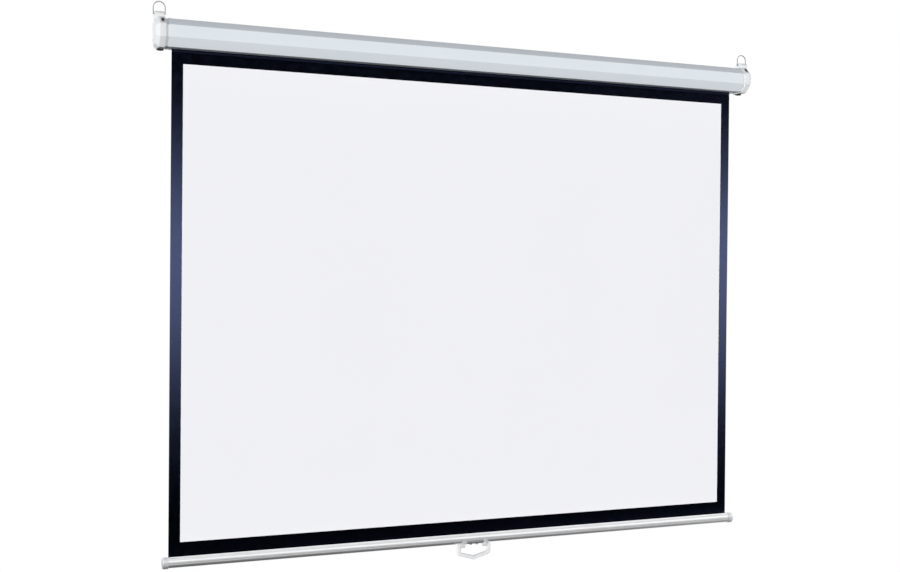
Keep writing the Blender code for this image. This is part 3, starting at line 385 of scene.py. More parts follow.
def skin(rings, loop=False):
    """A bmesh over rings of points, closed with a face at each end, or joined if it is a loop."""
    shape = bmesh.new()
    rows = [[shape.verts.new(point) for point in ring] for ring in rings]
    pairs = list(zip(rows, rows[1:]))
    if loop:
        pairs.append((rows[-1], rows[0]))
    for low, high in pairs:
        count = len(low)
        for index in range(count):
            after = (index + 1) % count
            shape.faces.new((low[index], low[after], high[after], high[index]))
    if not loop:
        shape.faces.new(rows[0])
        shape.faces.new(rows[-1])
    return shape


def along_x(y, z):
    """The move that takes a shape turned about Z onto a line along X."""
    turn = Vector((0.0, 0.0, 1.0)).rotation_difference(Vector((1.0, 0.0, 0.0)))
    return Matrix.Translation((0.0, y, z)) @ turn.to_matrix().to_4x4()


def turned(profile, move, segments=ROUND):
    """A (radius, height) profile turned about Z, then moved."""
    angles = [2 * math.pi * step / segments for step in range(segments)]
    rings = []
    for radius, height in profile:
        ring = [Vector((radius * math.cos(a), radius * math.sin(a), height)) for a in angles]
        rings.append([move @ point for point in ring])
    return skin(rings)


def rod(radius, low, high, move, segments):
    return turned([(radius, low), (radius, high)], move, segments)


def prism_x(outline, low, high):
    """A (y, z) outline pushed along X."""
    return skin([[(x, y, z) for y, z in outline] for x in (low, high)])


def prism_y(outline, low, high):
    """An (x, z) outline pushed along Y."""
    return skin([[(x, y, z) for x, z in outline] for y in (low, high)])


def cushioned_x(outline, low, high, radius):
    """A (y, z) outline pushed along X, with both end faces rounded off."""
    pairs = fillet(0.0, radius)
    rings = [(high + height, inset) for inset, height in pairs]
    rings = [(low - height, inset) for inset, height in reversed(pairs)] + rings
    return skin([[(x, y, z) for y, z in inset_outline(outline, inset)] for x, inset in rings])


def wire(path, radius):
    """A closed round wire along a path that lies square to Y."""
    count = len(path)
    normal = Vector((0.0, 1.0, 0.0))
    rings = []
    for index, point in enumerate(path):
        forward = (Vector(path[(index + 1) % count]) - Vector(path[index - 1])).normalized()
        across = forward.cross(normal).normalized()
        ring = []
        for side in range(WIRE_SIDES):
            angle = 2 * math.pi * side / WIRE_SIDES
            spoke = normal * math.cos(angle) + across * math.sin(angle)
            ring.append(Vector(point) + spoke * radius)
        rings.append(ring)
    return skin(rings, loop=True)


def span(low, high, side):
    """Distances from the middle as x values in rising order, on the left (-1) or right (1)."""
    return sorted((side * low, side * high))


# Pieces

def soften(mesh, sharp=SHARP):
    mesh.shade_smooth()
    mesh.set_sharp_from_angle(angle=math.radians(sharp))


def piece_from(name, shape, look=None, sharp=SHARP):
    """Turns a bmesh into an object with its faces pointing out and its hard edges marked."""
    bmesh.ops.recalc_face_normals(shape, faces=shape.faces)
    mesh = bpy.data.meshes.new(name)
    shape.to_mesh(mesh)
    shape.free()
    soften(mesh, sharp)
    piece = bpy.data.objects.new(name, mesh)
    if look is not None:
        mesh.materials.append(look)
    bpy.context.scene.collection.objects.link(piece)
    return piece


def combine(piece, shape, operation):
    """Applies a Boolean of a piece with a shape, which is used up, and cleans the result."""
    tool = piece_from("tool", shape)
    modifier = piece.modifiers.new("tool", "BOOLEAN")
    modifier.operation = operation
    modifier.solver = "EXACT"
    modifier.object = tool
    graph = bpy.context.evaluated_depsgraph_get()
    mesh = bpy.data.meshes.new_from_object(piece.evaluated_get(graph))
    piece.modifiers.clear()
    old = piece.data
    kept = list(old.materials)
    piece.data = mesh
    mesh.name = old.name + "_made"
    mesh.materials.clear()
    for material in kept:
        mesh.materials.append(material)
    clean = bmesh.new()
    clean.from_mesh(mesh)
    bmesh.ops.remove_doubles(clean, verts=clean.verts, dist=WELD)
    bmesh.ops.dissolve_degenerate(clean, edges=clean.edges, dist=WELD)
    clean.to_mesh(mesh)
    clean.free()
    soften(mesh)
    bpy.data.meshes.remove(old)
    bpy.data.objects.remove(tool)


def cut(piece, shape):
    combine(piece, shape, "DIFFERENCE")


def add(piece, shape):
    combine(piece, shape, "UNION")


def join_in(piece, part):
    """Unites a finished part with a piece and removes the part."""
    shape = bmesh.new()
    shape.from_mesh(part.data)
    bpy.data.objects.remove(part)
    add(piece, shape)


def dress(piece, body, node):
    """A finished piece rides on its body and stands for its CAD node."""
    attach(piece, body)
    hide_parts(node)


# Surfaces

class Look:
    """A Principled surface whose nodes are added step by step, in object coordinates."""

    def __init__(self, name, colour, roughness, metallic=0.0, **sockets):
        self.material = bpy.data.materials.new(name)
        self.material.use_nodes = True
        self.nodes = self.material.node_tree.nodes
        self.links = self.material.node_tree.links
        self.shader = self.nodes["Principled BSDF"]
        self.place = self.nodes.new("ShaderNodeTexCoord").outputs["Object"]
        self.colour = colour
        self.roughness = roughness
        self.shader.inputs["Base Color"].default_value = (*colour, 1.0)
        self.shader.inputs["Roughness"].default_value = roughness
        self.shader.inputs["Metallic"].default_value = metallic
        for socket, value in sockets.items():
            self.shader.inputs[socket.replace("_", " ")].default_value = value

    def noise(self, scale, detail, stretch=(1.0, 1.0, 1.0)):
        """Soft noise; scale is in features per metre."""
        mapping = self.nodes.new("ShaderNodeMapping")
        mapping.inputs["Scale"].default_value = stretch
        self.links.new(self.place, mapping.inputs["Vector"])
        texture = self.nodes.new("ShaderNodeTexNoise")
        texture.inputs["Scale"].default_value = scale
        texture.inputs["Detail"].default_value = detail
        self.links.new(mapping.outputs["Vector"], texture.inputs["Vector"])
        return texture.outputs["Fac"]

    def cells(self, scale):
        """Flat patches of random size, as on galvanised steel."""
        texture = self.nodes.new("ShaderNodeTexVoronoi")
        texture.inputs["Scale"].default_value = scale
        self.links.new(self.place, texture.inputs["Vector"])
        parts = self.nodes.new("ShaderNodeSeparateColor")
        self.links.new(texture.outputs["Color"], parts.inputs["Color"])
        return parts.outputs["Red"]

    def threads(self, pitch, direction):
        """Ridges one pitch apart, for a weave."""
        texture = self.nodes.new("ShaderNodeTexWave")
        texture.wave_type = "BANDS"
        texture.bands_direction = direction
        texture.inputs["Scale"].default_value = 1 / (pitch * WAVE_RATE / (2 * math.pi))
        texture.inputs["Distortion"].default_value = 0.6
        texture.inputs["Detail"].default_value = 1.0
        texture.inputs["Detail Scale"].default_value = 2.0
        self.links.new(self.place, texture.inputs["Vector"])
        return texture.outputs["Fac"]

    def spread(self, value, low, high, start=NOISE_LOW, end=NOISE_HIGH):
        """Remaps a pattern's middle part to a range."""
        remap = self.nodes.new("ShaderNodeMapRange")
        remap.inputs["From Min"].default_value = start
        remap.inputs["From Max"].default_value = end
        remap.inputs["To Min"].default_value = low
        remap.inputs["To Max"].default_value = high
        self.links.new(value, remap.inputs["Value"])
        return remap.outputs["Result"]

    def tint(self, value, other, share, start=NOISE_LOW, end=NOISE_HIGH):
        """Mixes another colour in where the pattern is high, up to a share."""
        mix = self.nodes.new("ShaderNodeMix")
        mix.data_type = "RGBA"
        base = self.shader.inputs["Base Color"]
        if base.is_linked:
            self.links.new(base.links[0].from_socket, mix.inputs["A"])
        else:
            mix.inputs["A"].default_value = (*self.colour, 1.0)
        mix.inputs["B"].default_value = (*other, 1.0)
        self.links.new(self.spread(value, 0.0, share, start, end), mix.inputs["Factor"])
        self.links.new(mix.outputs["Result"], base)

    def uneven(self, value, amount):
        """Lets the roughness wander by an amount either way."""
        wander = self.spread(value, self.roughness - amount, self.roughness + amount)
        self.links.new(wander, self.shader.inputs["Roughness"])

    def bump(self, value, depth, strength):
        """Raises the pattern by a depth in metres, on top of the bumps made before."""
        relief = self.nodes.new("ShaderNodeBump")
        relief.inputs["Strength"].default_value = strength
        relief.inputs["Distance"].default_value = depth
        self.links.new(value, relief.inputs["Height"])
        normal = self.shader.inputs["Normal"]
        if normal.is_linked:
            self.links.new(normal.links[0].from_socket, relief.inputs["Normal"])
        self.links.new(relief.outputs["Normal"], normal)


# Material name, colour, roughness, metallic; then three noises as features per metre and detail:
# with another colour and its share, with the roughness's swing, with a bump's depth and strength
FINISHES = {
    "white_plastic": (
        "moulded_white_plastic", (0.815, 0.826, 0.838), 0.42, 0.0,
        (45, 3, (0.775, 0.785, 0.79), 0.5), (180, 3, 0.06), (1900, 3, 0.00004, 0.5)),
    "black_rubber": (
        "black_rubber", (0.012, 0.012, 0.013), 0.62, 0.0,
        (500, 3, (0.028, 0.028, 0.030), 0.8), (260, 2, 0.08), (1500, 3, 0.00008, 0.6)),
    "ring_steel": (
        "nickel_plated_wire", (0.60, 0.60, 0.59), 0.20, 1.0,
        (240, 3, (0.42, 0.42, 0.42), 0.6), (500, 3, 0.06), (1400, 2, 0.00003, 0.5)),
    "spring_steel": (
        "oiled_spring_steel", (0.24, 0.25, 0.27), 0.34, 1.0,
        (160, 4, (0.12, 0.11, 0.12), 0.7), (300, 3, 0.08), (2200, 2, 0.00003, 0.5)),
    "nylon": (
        "milky_nylon", (0.70, 0.69, 0.64), 0.50, 0.0,
        (110, 3, (0.62, 0.60, 0.54), 0.5), (260, 3, 0.06), (1200, 3, 0.00004, 0.5)),
    "painted_bar": (
        "bar_satin_silver_paint", (0.915, 0.925, 0.935), 0.32, 0.88,
        (14, 3, (0.82, 0.825, 0.82), 0.5), (120, 3, 0.04), (420, 2, 0.00004, 0.3)),
    "knob": (
        "knob_silver_plastic", (0.83, 0.83, 0.84), 0.38, 0.75,
        (45, 3, (0.75, 0.755, 0.77), 0.5), (180, 3, 0.05), (1900, 3, 0.00004, 0.4)),
    "clip": (
        "clip_grey_plastic", (0.86, 0.865, 0.87), 0.40, 0.40,
        (45, 3, (0.82, 0.825, 0.83), 0.5), (180, 3, 0.05), (1900, 3, 0.00004, 0.4)),
    # The saddle: a darker, metallic copy of the clip's surface, painted shade for the shadow under
    # the bar between the tabs
    "saddle": (
        "clip_saddle_painted_shade", (0.40, 0.40, 0.42), 0.42, 0.80,
        (60, 3, (0.30, 0.30, 0.32), 0.5), (180, 3, 0.06), (1500, 3, 0.00004, 0.4)),
    "handle": (
        "handle_white_plastic", (0.80, 0.805, 0.81), 0.36, 0.0,
        (60, 3, (0.765, 0.77, 0.775), 0.5), (210, 3, 0.05), (1700, 3, 0.00004, 0.4)),
}


def finished(name, colour, roughness, metallic, tint, uneven, bump):
    """A surface of the table above."""
    look = Look(name, colour, roughness, metallic)
    look.tint(look.noise(*tint[:2]), *tint[2:])
    look.uneven(look.noise(*uneven[:2]), *uneven[2:])
    look.bump(look.noise(*bump[:2]), *bump[2:])
    return look.material


def powder_paint():
    look = Look("case_powder_paint", (0.765, 0.813, 0.848), 0.42, Specular_IOR_Level=0.12)
    look.tint(look.noise(9, 3), (0.735, 0.785, 0.821), 0.5)
    look.tint(look.noise(900, 2), (0.79, 0.83, 0.863), 0.35)
    look.uneven(look.noise(60, 3), 0.05)
    look.bump(look.noise(620, 2), 0.00006, 0.5)
    return look.material


def zinc_steel():
    look = Look("galvanised_steel", (0.60, 0.61, 0.62), 0.42, 1.0)
    look.tint(look.cells(230), (0.46, 0.48, 0.51), 0.8, 0.0, 1.0)
    look.tint(look.noise(70, 3), (0.66, 0.63, 0.55), 0.3)
    look.uneven(look.cells(230), 0.08)
    look.bump(look.noise(900, 3), 0.00003, 0.5)
    return look.material


def steel_rod():
    look = Look("drawn_steel_rod", (0.50, 0.51, 0.52), 0.36, 1.0)
    look.tint(look.noise(400, 3, (0.04, 1.0, 1.0)), (0.34, 0.34, 0.35), 0.6)
    look.uneven(look.noise(600, 2, (0.04, 1.0, 1.0)), 0.08)
    look.bump(look.noise(1500, 2, (0.03, 1.0, 1.0)), 0.00003, 0.6)
    return look.material


def woven(look, depth):
    """The fine weave of the cloth's carrier, which shows through the coating on both sides."""
    look.bump(look.threads(WEAVE_PITCH, "X"), depth, 0.5)
    look.bump(look.threads(WEAVE_PITCH, "Z"), depth, 0.5)
    look.bump(look.noise(2600, 2), depth, 0.4)
    return look.material


def white_field():
    look = Look("screen_matte_white", (0.908, 0.905, 0.928), 0.88, Specular_IOR_Level=0.25)
    look.tint(look.noise(5, 2), (0.898, 0.895, 0.918), 0.5)
    return woven(look, 0.00003)


def black_print():
    """Satin ink: nearly black, with a navy gloss where it mirrors a light."""
    look = Look("screen_black_border", (0.0002, 0.0005, 0.0012), 0.10, IOR=1.8,
                Specular_IOR_Level=1.0, Specular_Tint=(0.38, 0.475, 0.97, 1.0))
    look.tint(look.noise(30, 3), (0.0005, 0.0010, 0.0020), 0.6)
    look.uneven(look.noise(90, 3), 0.02)
    return woven(look, 0.000004)


def black_back():
    look = Look("screen_black_back", (0.010, 0.010, 0.011), 0.74, Specular_IOR_Level=0.35)
    look.tint(look.noise(14, 4), (0.017, 0.017, 0.019), 0.7)
    return woven(look, 0.00005)


looks = {use: finished(*finish) for use, finish in FINISHES.items()}
looks.update(
    painted_case=powder_paint(), zinc_steel=zinc_steel(), steel_rod=steel_rod(),
    screen_cloth=black_back(), field=white_field(), border=black_print())


def dress_frame():
    """Gives every CAD node the finished surface of its slot."""
    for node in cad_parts.values():
        slot = node.data.materials[0].name
        node.data.materials.clear()
        node.data.materials.append(looks[slot])


# Case and end caps

def case_corners():
    """Corners of the case's section as (y, z), anticlockwise, from the foot of its flat back."""
    chamfer = -CASE_DEPTH + FRONT_CHAMFER
    return [
        (0.0, -CASE_TOP + REAR_CHAMFER),
        (0.0, CASE_TOP - REAR_CHAMFER),
        (-REAR_CHAMFER, CASE_TOP),
        (chamfer, CASE_TOP),
        (-CASE_DEPTH, CASE_TOP - UPPER_CHAMFER_HEIGHT),
        (-CASE_DEPTH, -CASE_TOP + LOWER_CHAMFER_HEIGHT),
        (chamfer, -CASE_TOP),
        (-REAR_CHAMFER, -CASE_TOP),
    ]


def section(grow, back, corner):
    """The case's section with rounded corners, grown all round, its back by its own distance."""
    corners = case_corners()
    moved = offset_outline(corners, [back] + [grow] * (len(corners) - 1))
    return rounded(moved, [corner] * len(moved))


def case_skin():
    """The formed sheet: bent corners and two turned-in lips where the screen comes out."""
    corners = case_corners()
    slot_front = SHEET_Y - SLOT_WIDTH / 2
    slot_rear = SHEET_Y + SLOT_WIDTH / 2
    lip = -CASE_TOP + SLOT_LIP
    path = [(slot_front, lip), (slot_front, -CASE_TOP)]
    path += [corners[index] for index in (6, 5, 4, 3, 2, 1, 0, 7)]
    path += [(slot_rear, -CASE_TOP), (slot_rear, lip)]
    radii = [0.0, LIP_BEND] + [CASE_BEND] * len(corners) + [LIP_BEND, 0.0]
    outline = ribbon(rounded(path, radii, closed=False), CASE_WALL, 0.0)
    case = piece_from("case_sheet_metal", prism_x(outline, -CASE_HALF, CASE_HALF),
                      looks["painted_case"], BENT_SHARP)
    dress(case, "housing", "case_shell")


def cap_rings(side):
    """The cap's sections from its nose over the collar and the plug into its hollow, as points."""
    plug = -(CASE_WALL + GAP)
    cavity = plug - CAP_PLUG_WALL
    inner = CAP_PROUD - CAP_WALL
    nose = CAP_PROUD - CAP_NOSE_RISE
    outer = rounded(
        [(CAP_END, nose - NOSE_FACE_MARGIN), (CAP_END, nose), (NOSE_START, CAP_PROUD),
         (COLLAR_END, CAP_PROUD), (COLLAR_END, -COLLAR_DEPTH), (CAP_START, -COLLAR_DEPTH)],
        [0, NOSE_FACE_ROUND, NOSE_ROUND, BODY_ROUND, COLLAR_ROUND, 0], FILLET_STEPS, closed=False)
    rings = []
    for x, grow in outer:
        slope = max(x - NOSE_START, 0.0) / (CAP_END - NOSE_START)
        face = max(nose - grow, 0.0)
        rings.append((x, grow, -CAP_NOSE_BACK * slope - face, CAP_CORNER))
    hollow = CAP_CORNER / 4
    rings += [
        (CAP_START, plug, plug, CAP_CORNER / 2),
        (CAP_START - CAP_PLUG, plug, plug, CAP_CORNER / 2),
        (CAP_START - CAP_PLUG, cavity, cavity, hollow),
        (COLLAR_END + CAP_WALL, cavity, cavity, hollow),
        (COLLAR_END + CAP_WALL, inner, -CAP_WALL, hollow),
        (NOSE_START, inner, -CAP_WALL, hollow),
        (CAP_END - CAP_WALL, nose - CAP_WALL / 2, -CAP_NOSE_BACK - CAP_WALL, hollow),
    ]
    return [[(side * x, y, z) for y, z in section(grow, back, corner)]
            for x, grow, back, corner in rings]


def slope_place(side):
    """The middle of the body's upper front slope, with Z square to it and X up along it."""
    corners = offset_outline(case_corners(), [0.0] + [CAP_PROUD] * 7)
    low, high = Vector(corners[4]), Vector(corners[3])
    middle = (low + high) / 2
    slope = (high - low).normalized()
    up = Vector((0.0, slope.x, slope.y))
    sideways = Vector((-1.0, 0.0, 0.0))
    turn = Matrix((up, sideways, up.cross(sideways))).transposed().to_4x4()
    place = (side * (COLLAR_END + CAP_BODY / 2), middle.x, middle.y)
    return Matrix.Translation(place) @ turn


def foot_place(side):
    x = side * (foot_low.x + foot_high.x) / 2
    return Matrix.Translation((x, (foot_low.y + foot_high.y) / 2, 0.0))


def end_cap(name, side):
    """A moulded cap, rounded and hollow, with its bosses and the holes for foot and plug."""
    cap = piece_from(f"{name}_cap_moulding", skin(cap_rings(side)), looks["white_plastic"])
    for height in (-BOSS_HEIGHT, BOSS_HEIGHT):
        low, high = span(plate_high.x + GAP, CAP_END - CAP_WALL / 2, side)
        add(cap, rod(BOSS_RADIUS, low, high, along_x(-BOSS_TO_WALL, height), HOLE_SIDES))
    cut(cap, rod(FOOT_STEM + GAP, -CAP_TOP - CAP_WALL, -CAP_TOP + 2 * CAP_WALL, foot_place(side),
                 PLUG_SIDES))
    play = 2 * (GAP - BLANK_RIM)
    hole = oblong(BLANK_LENGTH + play, BLANK_WIDTH + play)
    place = slope_place(side)
    cut(cap, skin([[place @ Vector((a, b, height)) for a, b in hole]
                   for height in (-2 * CAP_WALL, 2 * CAP_WALL)]))
    low, high = span(CAP_START - CAP_PLUG - GAP, CAP_START, side)
    room = SLOT_WIDTH / 2 + CASE_WALL + GAP
    top = -CASE_TOP + SLOT_LIP + GAP
    notch = [(SHEET_Y - room, -CASE_TOP), (SHEET_Y + room, -CASE_TOP), (SHEET_Y + room, top),
             (SHEET_Y - room, top)]
    cut(cap, prism_x(notch, low, high))
    dress(cap, "housing", f"{name}_end_cap")


def hanger_lug(name, side):
    """A rounded block on the cap's top that follows the nose's slope, with a countersunk bore."""
    foot = LUG_BASE - CAP_NOSE_RISE
    corners = [(lug_low.y, foot), (lug_high.y, foot), (lug_high.y, lug_high.z),
               (lug_low.y, lug_high.z)]
    outline = rounded(corners, [LUG_FOOT, LUG_FOOT, LUG_ROUND, LUG_ROUND], END_STEPS)
    low, high = span(lug_low.x, lug_high.x, side)
    lug = piece_from(f"{name}_lug_block", cushioned_x(outline, low, high, LUG_FILLET),
                     looks["white_plastic"])
    width = lug_high.x - lug_low.x
    seat = [(side * (COLLAR_END - width), LUG_BASE), (side * NOSE_START, LUG_BASE),
            (side * (CAP_END + GAP), foot), (side * (CAP_END + GAP), foot - width),
            (side * (COLLAR_END - width), foot - width)]
    cut(lug, prism_y(seat, lug_low.y - width, lug_high.y + width))
    bore = RING_WIRE / 2 + GAP
    rim = bore + LUG_COUNTERSINK
    profile = [(rim, low - GAP), (rim, low), (bore, low + LUG_COUNTERSINK),
               (bore, high - LUG_COUNTERSINK), (rim, high), (rim, high + GAP)]
    cut(lug, turned(profile, along_x(RING_Y, RING_Z), PLUG_SIDES))
    dress(lug, "housing", f"{name}_hanger_lug")


def hanging_ring(name, side):
    """A closed wire bail, straight through the lug and round at the top."""
    half = (ring_high.x - ring_low.x - RING_WIRE) / 2
    middle = side * RING_X
    top = ring_high.z - RING_WIRE / 2 - half
    left, right = middle - half + RING_CORNER, middle + half - RING_CORNER
    outline = arc((left, RING_Z + RING_CORNER), RING_CORNER, 180, 270, RING_CORNER_STEPS)
    outline += arc((right, RING_Z + RING_CORNER), RING_CORNER, 270, 360, RING_CORNER_STEPS)
    outline += arc((middle, top), half, 0, 180, RING_CROWN_STEPS)
    path = [(x, RING_Y, z) for x, z in outline]
    ring = piece_from(f"{name}_ring_wire", wire(path, RING_WIRE / 2), looks["ring_steel"],
                      WIRE_SHARP)
    dress(ring, f"{name}_ring", f"{name}_hanging_ring")


def foot_pad(name, side):
    """A round rubber foot with a soft rim, a dished face and a stem through the cap's floor."""
    face = foot_low.z
    seat = -CAP_TOP - GAP
    radius = (foot_high.x - foot_low.x) / 2
    profile = [(FOOT_CENTRE, face + FOOT_DISH)]
    profile += [(FOOT_FACE - inset, face + rise) for inset, rise in FOOT_RIM]
    edge = (radius - FOOT_ROUND, face + FOOT_ROUND_RISE)
    profile += arc(edge, FOOT_ROUND, FOOT_ROUND_START, 0, FILLET_STEPS)
    profile += [(radius, seat), (FOOT_STEM, seat), (FOOT_STEM, -CAP_TOP + CAP_WALL + GAP)]
    pad = piece_from(f"{name}_foot_pad", turned(profile, foot_place(side), PLUG_SIDES),
                     looks["black_rubber"], SOFT_SHARP)
    dress(pad, "housing", f"{name}_foot_plug")


def slope_plug(name, side):
    """An oblong plug with a rounded head in the cap's upper front slope."""
    place = slope_place(side)
    rim = oblong(BLANK_LENGTH, BLANK_WIDTH)
    stem = oblong(BLANK_LENGTH - 2 * BLANK_RIM, BLANK_WIDTH - 2 * BLANK_RIM)
    layers = [(inset_outline(rim, inset), height)
              for inset, height in reversed(fillet(GAP + BLANK_HEAD, BLANK_FILLET))]
    layers += [(rim, GAP), (stem, GAP), (stem, -CAP_WALL)]
    rings = [[place @ Vector((a, b, height)) for a, b in outline] for outline, height in layers]
    plug = piece_from(f"{name}_slope_plug", skin(rings), looks["black_rubber"], SOFT_SHARP)
    dress(plug, "housing", f"{name}_blank_plug")


def dress_case():
    case_skin()
    for side, name in SIDES:
        end_cap(name, side)
        hanger_lug(name, side)
        hanging_ring(name, side)
        foot_pad(name, side)
        slope_plug(name, side)


# Screen

def wave(x, z):
    """How far the cloth stands off its plane: slow ripples and a slight curl at the side edges."""
    drop = (SHEET_TOP - z) / (SHEET_TOP - IMAGE_BOTTOM)
    held = math.sin(math.pi * min(max(drop, 0.0), 1.0))
    ripple = noise.noise(Vector((x * RIPPLE_ACROSS, z * RIPPLE_DOWN, RIPPLE_SEED))) * RIPPLE
    edge = max(abs(x) / SHEET_HALF - CURL_START, 0.0) / CURL_WIDTH
    return held * (ripple + CURL * edge * edge)


def line_places(low, high, stops, pitch):
    """Rising places from low to high that include every stop, about a pitch apart."""
    marks = sorted([low, high, *stops])
    places = [marks[0]]
    for start, end in zip(marks, marks[1:]):
        steps = max(1, round((end - start) / pitch))
        places += [start + (end - start) * (step + 1) / steps for step in range(steps)]
    return places


def cloth_sheet():
    """The sheet from the roller to its white field's foot, with printed borders and black back."""
    columns = line_places(-SHEET_HALF, SHEET_HALF, [-IMAGE_HALF, IMAGE_HALF], CLOTH_GRID)
    rows = line_places(IMAGE_BOTTOM, SHEET_TOP, [IMAGE_TOP], CLOTH_GRID)
    shape = bmesh.new()
    layers = []
    for depth in (-CLOTH / 2, CLOTH / 2):
        layers.append([[shape.verts.new((x, SHEET_Y + wave(x, z) + depth, z)) for x in columns]
                       for z in rows])
    front, back = layers
    field, border, rear = 0, 1, 2
    last_row, last_column = len(rows) - 1, len(columns) - 1
    for row in range(last_row):
        for column in range(last_column):
            corners = ((row, column), (row, column + 1), (row + 1, column + 1), (row + 1, column))
            face = shape.faces.new([front[r][c] for r, c in corners])
            x = (columns[column] + columns[column + 1]) / 2
            z = (rows[row] + rows[row + 1]) / 2
            face.material_index = field if abs(x) < IMAGE_HALF and z < IMAGE_TOP else border
            face = shape.faces.new([back[r][c] for r, c in reversed(corners)])
            face.material_index = rear
    rim = [(0, c) for c in range(last_column)] + [(r, last_column) for r in range(last_row)]
    rim += [(last_row, c) for c in range(last_column, 0, -1)]
    rim += [(r, 0) for r in range(last_row, 0, -1)]
    for (r, c), (next_r, next_c) in zip(rim, rim[1:] + rim[:1]):
        corners = (back[r][c], back[next_r][next_c], front[next_r][next_c], front[r][c])
        shape.faces.new(corners).material_index = border
    sheet = piece_from("cloth_sheet", shape, looks["field"], SOFT_SHARP)
    sheet.data.materials.append(looks["border"])
    sheet.data.materials.append(looks["screen_cloth"])
    return sheet


def cloth_hem():
    """The bottom border and the hem that goes round the rod inside the bar."""
    path = [(SHEET_Y, IMAGE_BOTTOM)] + arc((HEM_Y, HEM_Z), HEM_RADIUS, 0, -HEM_WRAP, BENT_STEPS)
    outline = ribbon(path, CLOTH / 2, CLOTH / 2)
    hem = piece_from("cloth_hem", prism_x(outline, -SHEET_HALF, SHEET_HALF), looks["border"],
                     SOFT_SHARP)
    hem.data.materials.append(looks["screen_cloth"])
    for face in hem.data.polygons:
        if face.normal.y > FACING and face.center.z > HEM_Z:
            face.material_index = 1
    return hem


def cloth_turns():
    """The last turns of cloth on the roller."""
    steps = ROUND * WRAP_TURNS
    start = WRAP_OUTER - WRAP_TURNS * WRAP_PITCH
    path = []
    for step in range(steps + 1):
        share = step / steps
        angle = -2 * math.pi * WRAP_TURNS * share
        radius = start + (WRAP_OUTER - start) * share
        path.append((ROLLER_Y + radius * math.cos(angle), ROLLER_Z + radius * math.sin(angle)))
    outline = ribbon(path, CLOTH / 2, CLOTH / 2)
    return piece_from("cloth_turns", prism_x(outline, -SHEET_HALF, SHEET_HALF),
                      looks["screen_cloth"], SOFT_SHARP)


def hang_cloth():
    """Three pieces of one cloth: the hem rides on the screen, the last turns on the roller, and the
    part below the roller hangs from the housing.
    """
    hem = cloth_hem()
    hem.visible_glossy = False
    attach(hem, "screen")
    turns = cloth_turns()
    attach(turns, "roller")
    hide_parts("wrapped_cloth")
    sheet = cloth_sheet()
    sheet.visible_diffuse = False
    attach(sheet, "housing")
    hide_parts("screen_sheet")
    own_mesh(sheet)


# Weight bar and handle

def screw_hole(piece, side):
    """Bores the hole for one of the clip's screws."""
    place = Matrix.Translation((side * HANDLE_SCREW_SPREAD, BAR_Y, 0.0))
    cut(piece, rod(SCREW_HOLE, BAR_Z - 2 * BAR_RADIUS, BAR_Z, place, HOLE_SIDES))


def bar_tube():
    """A painted tube with a slot along its upper back."""
    middle = SHEET_Y - BAR_Y
    walls = []
    for radius in (BAR_RADIUS, BAR_RADIUS - BAR_WALL):
        start = math.degrees(math.acos((middle - BAR_SLOT / 2) / radius))
        end = math.degrees(math.acos((middle + BAR_SLOT / 2) / radius)) + 360
        walls.append(arc((BAR_Y, BAR_Z), radius, start, end, BAR_STEPS))
    outer, inner = walls
    tube = prism_x(outer + inner[::-1], -BAR_HALF, BAR_HALF)
    bar = piece_from("bar_tube", tube, looks["painted_bar"])
    for side in (-1, 1):
        screw_hole(bar, side)
    bar.visible_glossy = False
    dress(bar, "screen", "weight_bar")


def bar_knob(name, side):
    """A rounded end plug with a shallow groove, and a spigot inside the tube, below the hem."""
    face = BAR_HALF + GAP
    profile = [(BAR_PLUG_RADIUS - KNOB_EDGE, face), (BAR_PLUG_RADIUS, face + KNOB_EDGE)]
    profile += [(BAR_PLUG_RADIUS - depth, face + x) for x, depth in KNOB_GROOVE]
    corner = (BAR_PLUG_RADIUS - BAR_PLUG_ROUND, BAR_PLUG_END - BAR_PLUG_ROUND)
    profile += arc(corner, BAR_PLUG_ROUND, 0, 90, END_STEPS)
    profile += [(BAR_PLUG_RADIUS - BAR_PLUG_ROUND - KNOB_FACE_MARGIN, BAR_PLUG_END),
                (KNOB_CENTRE, BAR_PLUG_END)]
    profile = [(radius, side * x) for radius, x in profile]
    knob = piece_from(f"{name}_bar_knob", turned(profile, along_x(BAR_Y, BAR_Z)), looks["knob"])
    radius = BAR_RADIUS - BAR_WALL - GAP
    top = math.degrees(math.asin(SPIGOT_TOP / radius))
    low, high = span(face - BAR_PLUG_SPIGOT, face + BAR_PLUG_ROUND, side)
    spigot = arc((BAR_Y, BAR_Z), radius, 180 - top, 360 + top, SPIGOT_STEPS)
    add(knob, prism_x(spigot, low, high))
    dress(knob, "screen", f"{name}_bar_plug")


def saddle_outline(inner, outer, spread):
    """A strip bent round the underside of the bar, spread each side of its lowest line."""
    start, end = 270 - spread, 270 + spread
    outline = arc((BAR_Y, BAR_Z), outer, start, end, BENT_STEPS)
    return outline + arc((BAR_Y, BAR_Z), inner, end, start, BENT_STEPS)


def clip_tab(inner, side):
    """A rounded tab that hugs the bar on both sides at one end of the clip."""
    low, high = span(BRACKET_HALF - TAB_WIDTH, BRACKET_HALF, side)
    top = BAR_Z - (inner + TAB_WALL) * math.cos(math.radians(TAB_SPREAD))
    foot = BAR_Z - 2 * BAR_RADIUS
    strip = saddle_outline(inner, inner + TAB_WALL, TAB_REACH)
    tab = piece_from("tab", prism_x(strip, low - TAB_WALL, high + TAB_WALL))
    face = rounded([(low, foot), (high, foot), (high, top), (low, top)],
                   [0, 0, TAB_ROUND, TAB_ROUND], END_STEPS)
    front, rear = BAR_Y - 2 * BAR_RADIUS, BAR_Y + 2 * BAR_RADIUS
    combine(tab, prism_y(face, front, rear), "INTERSECT")
    return tab


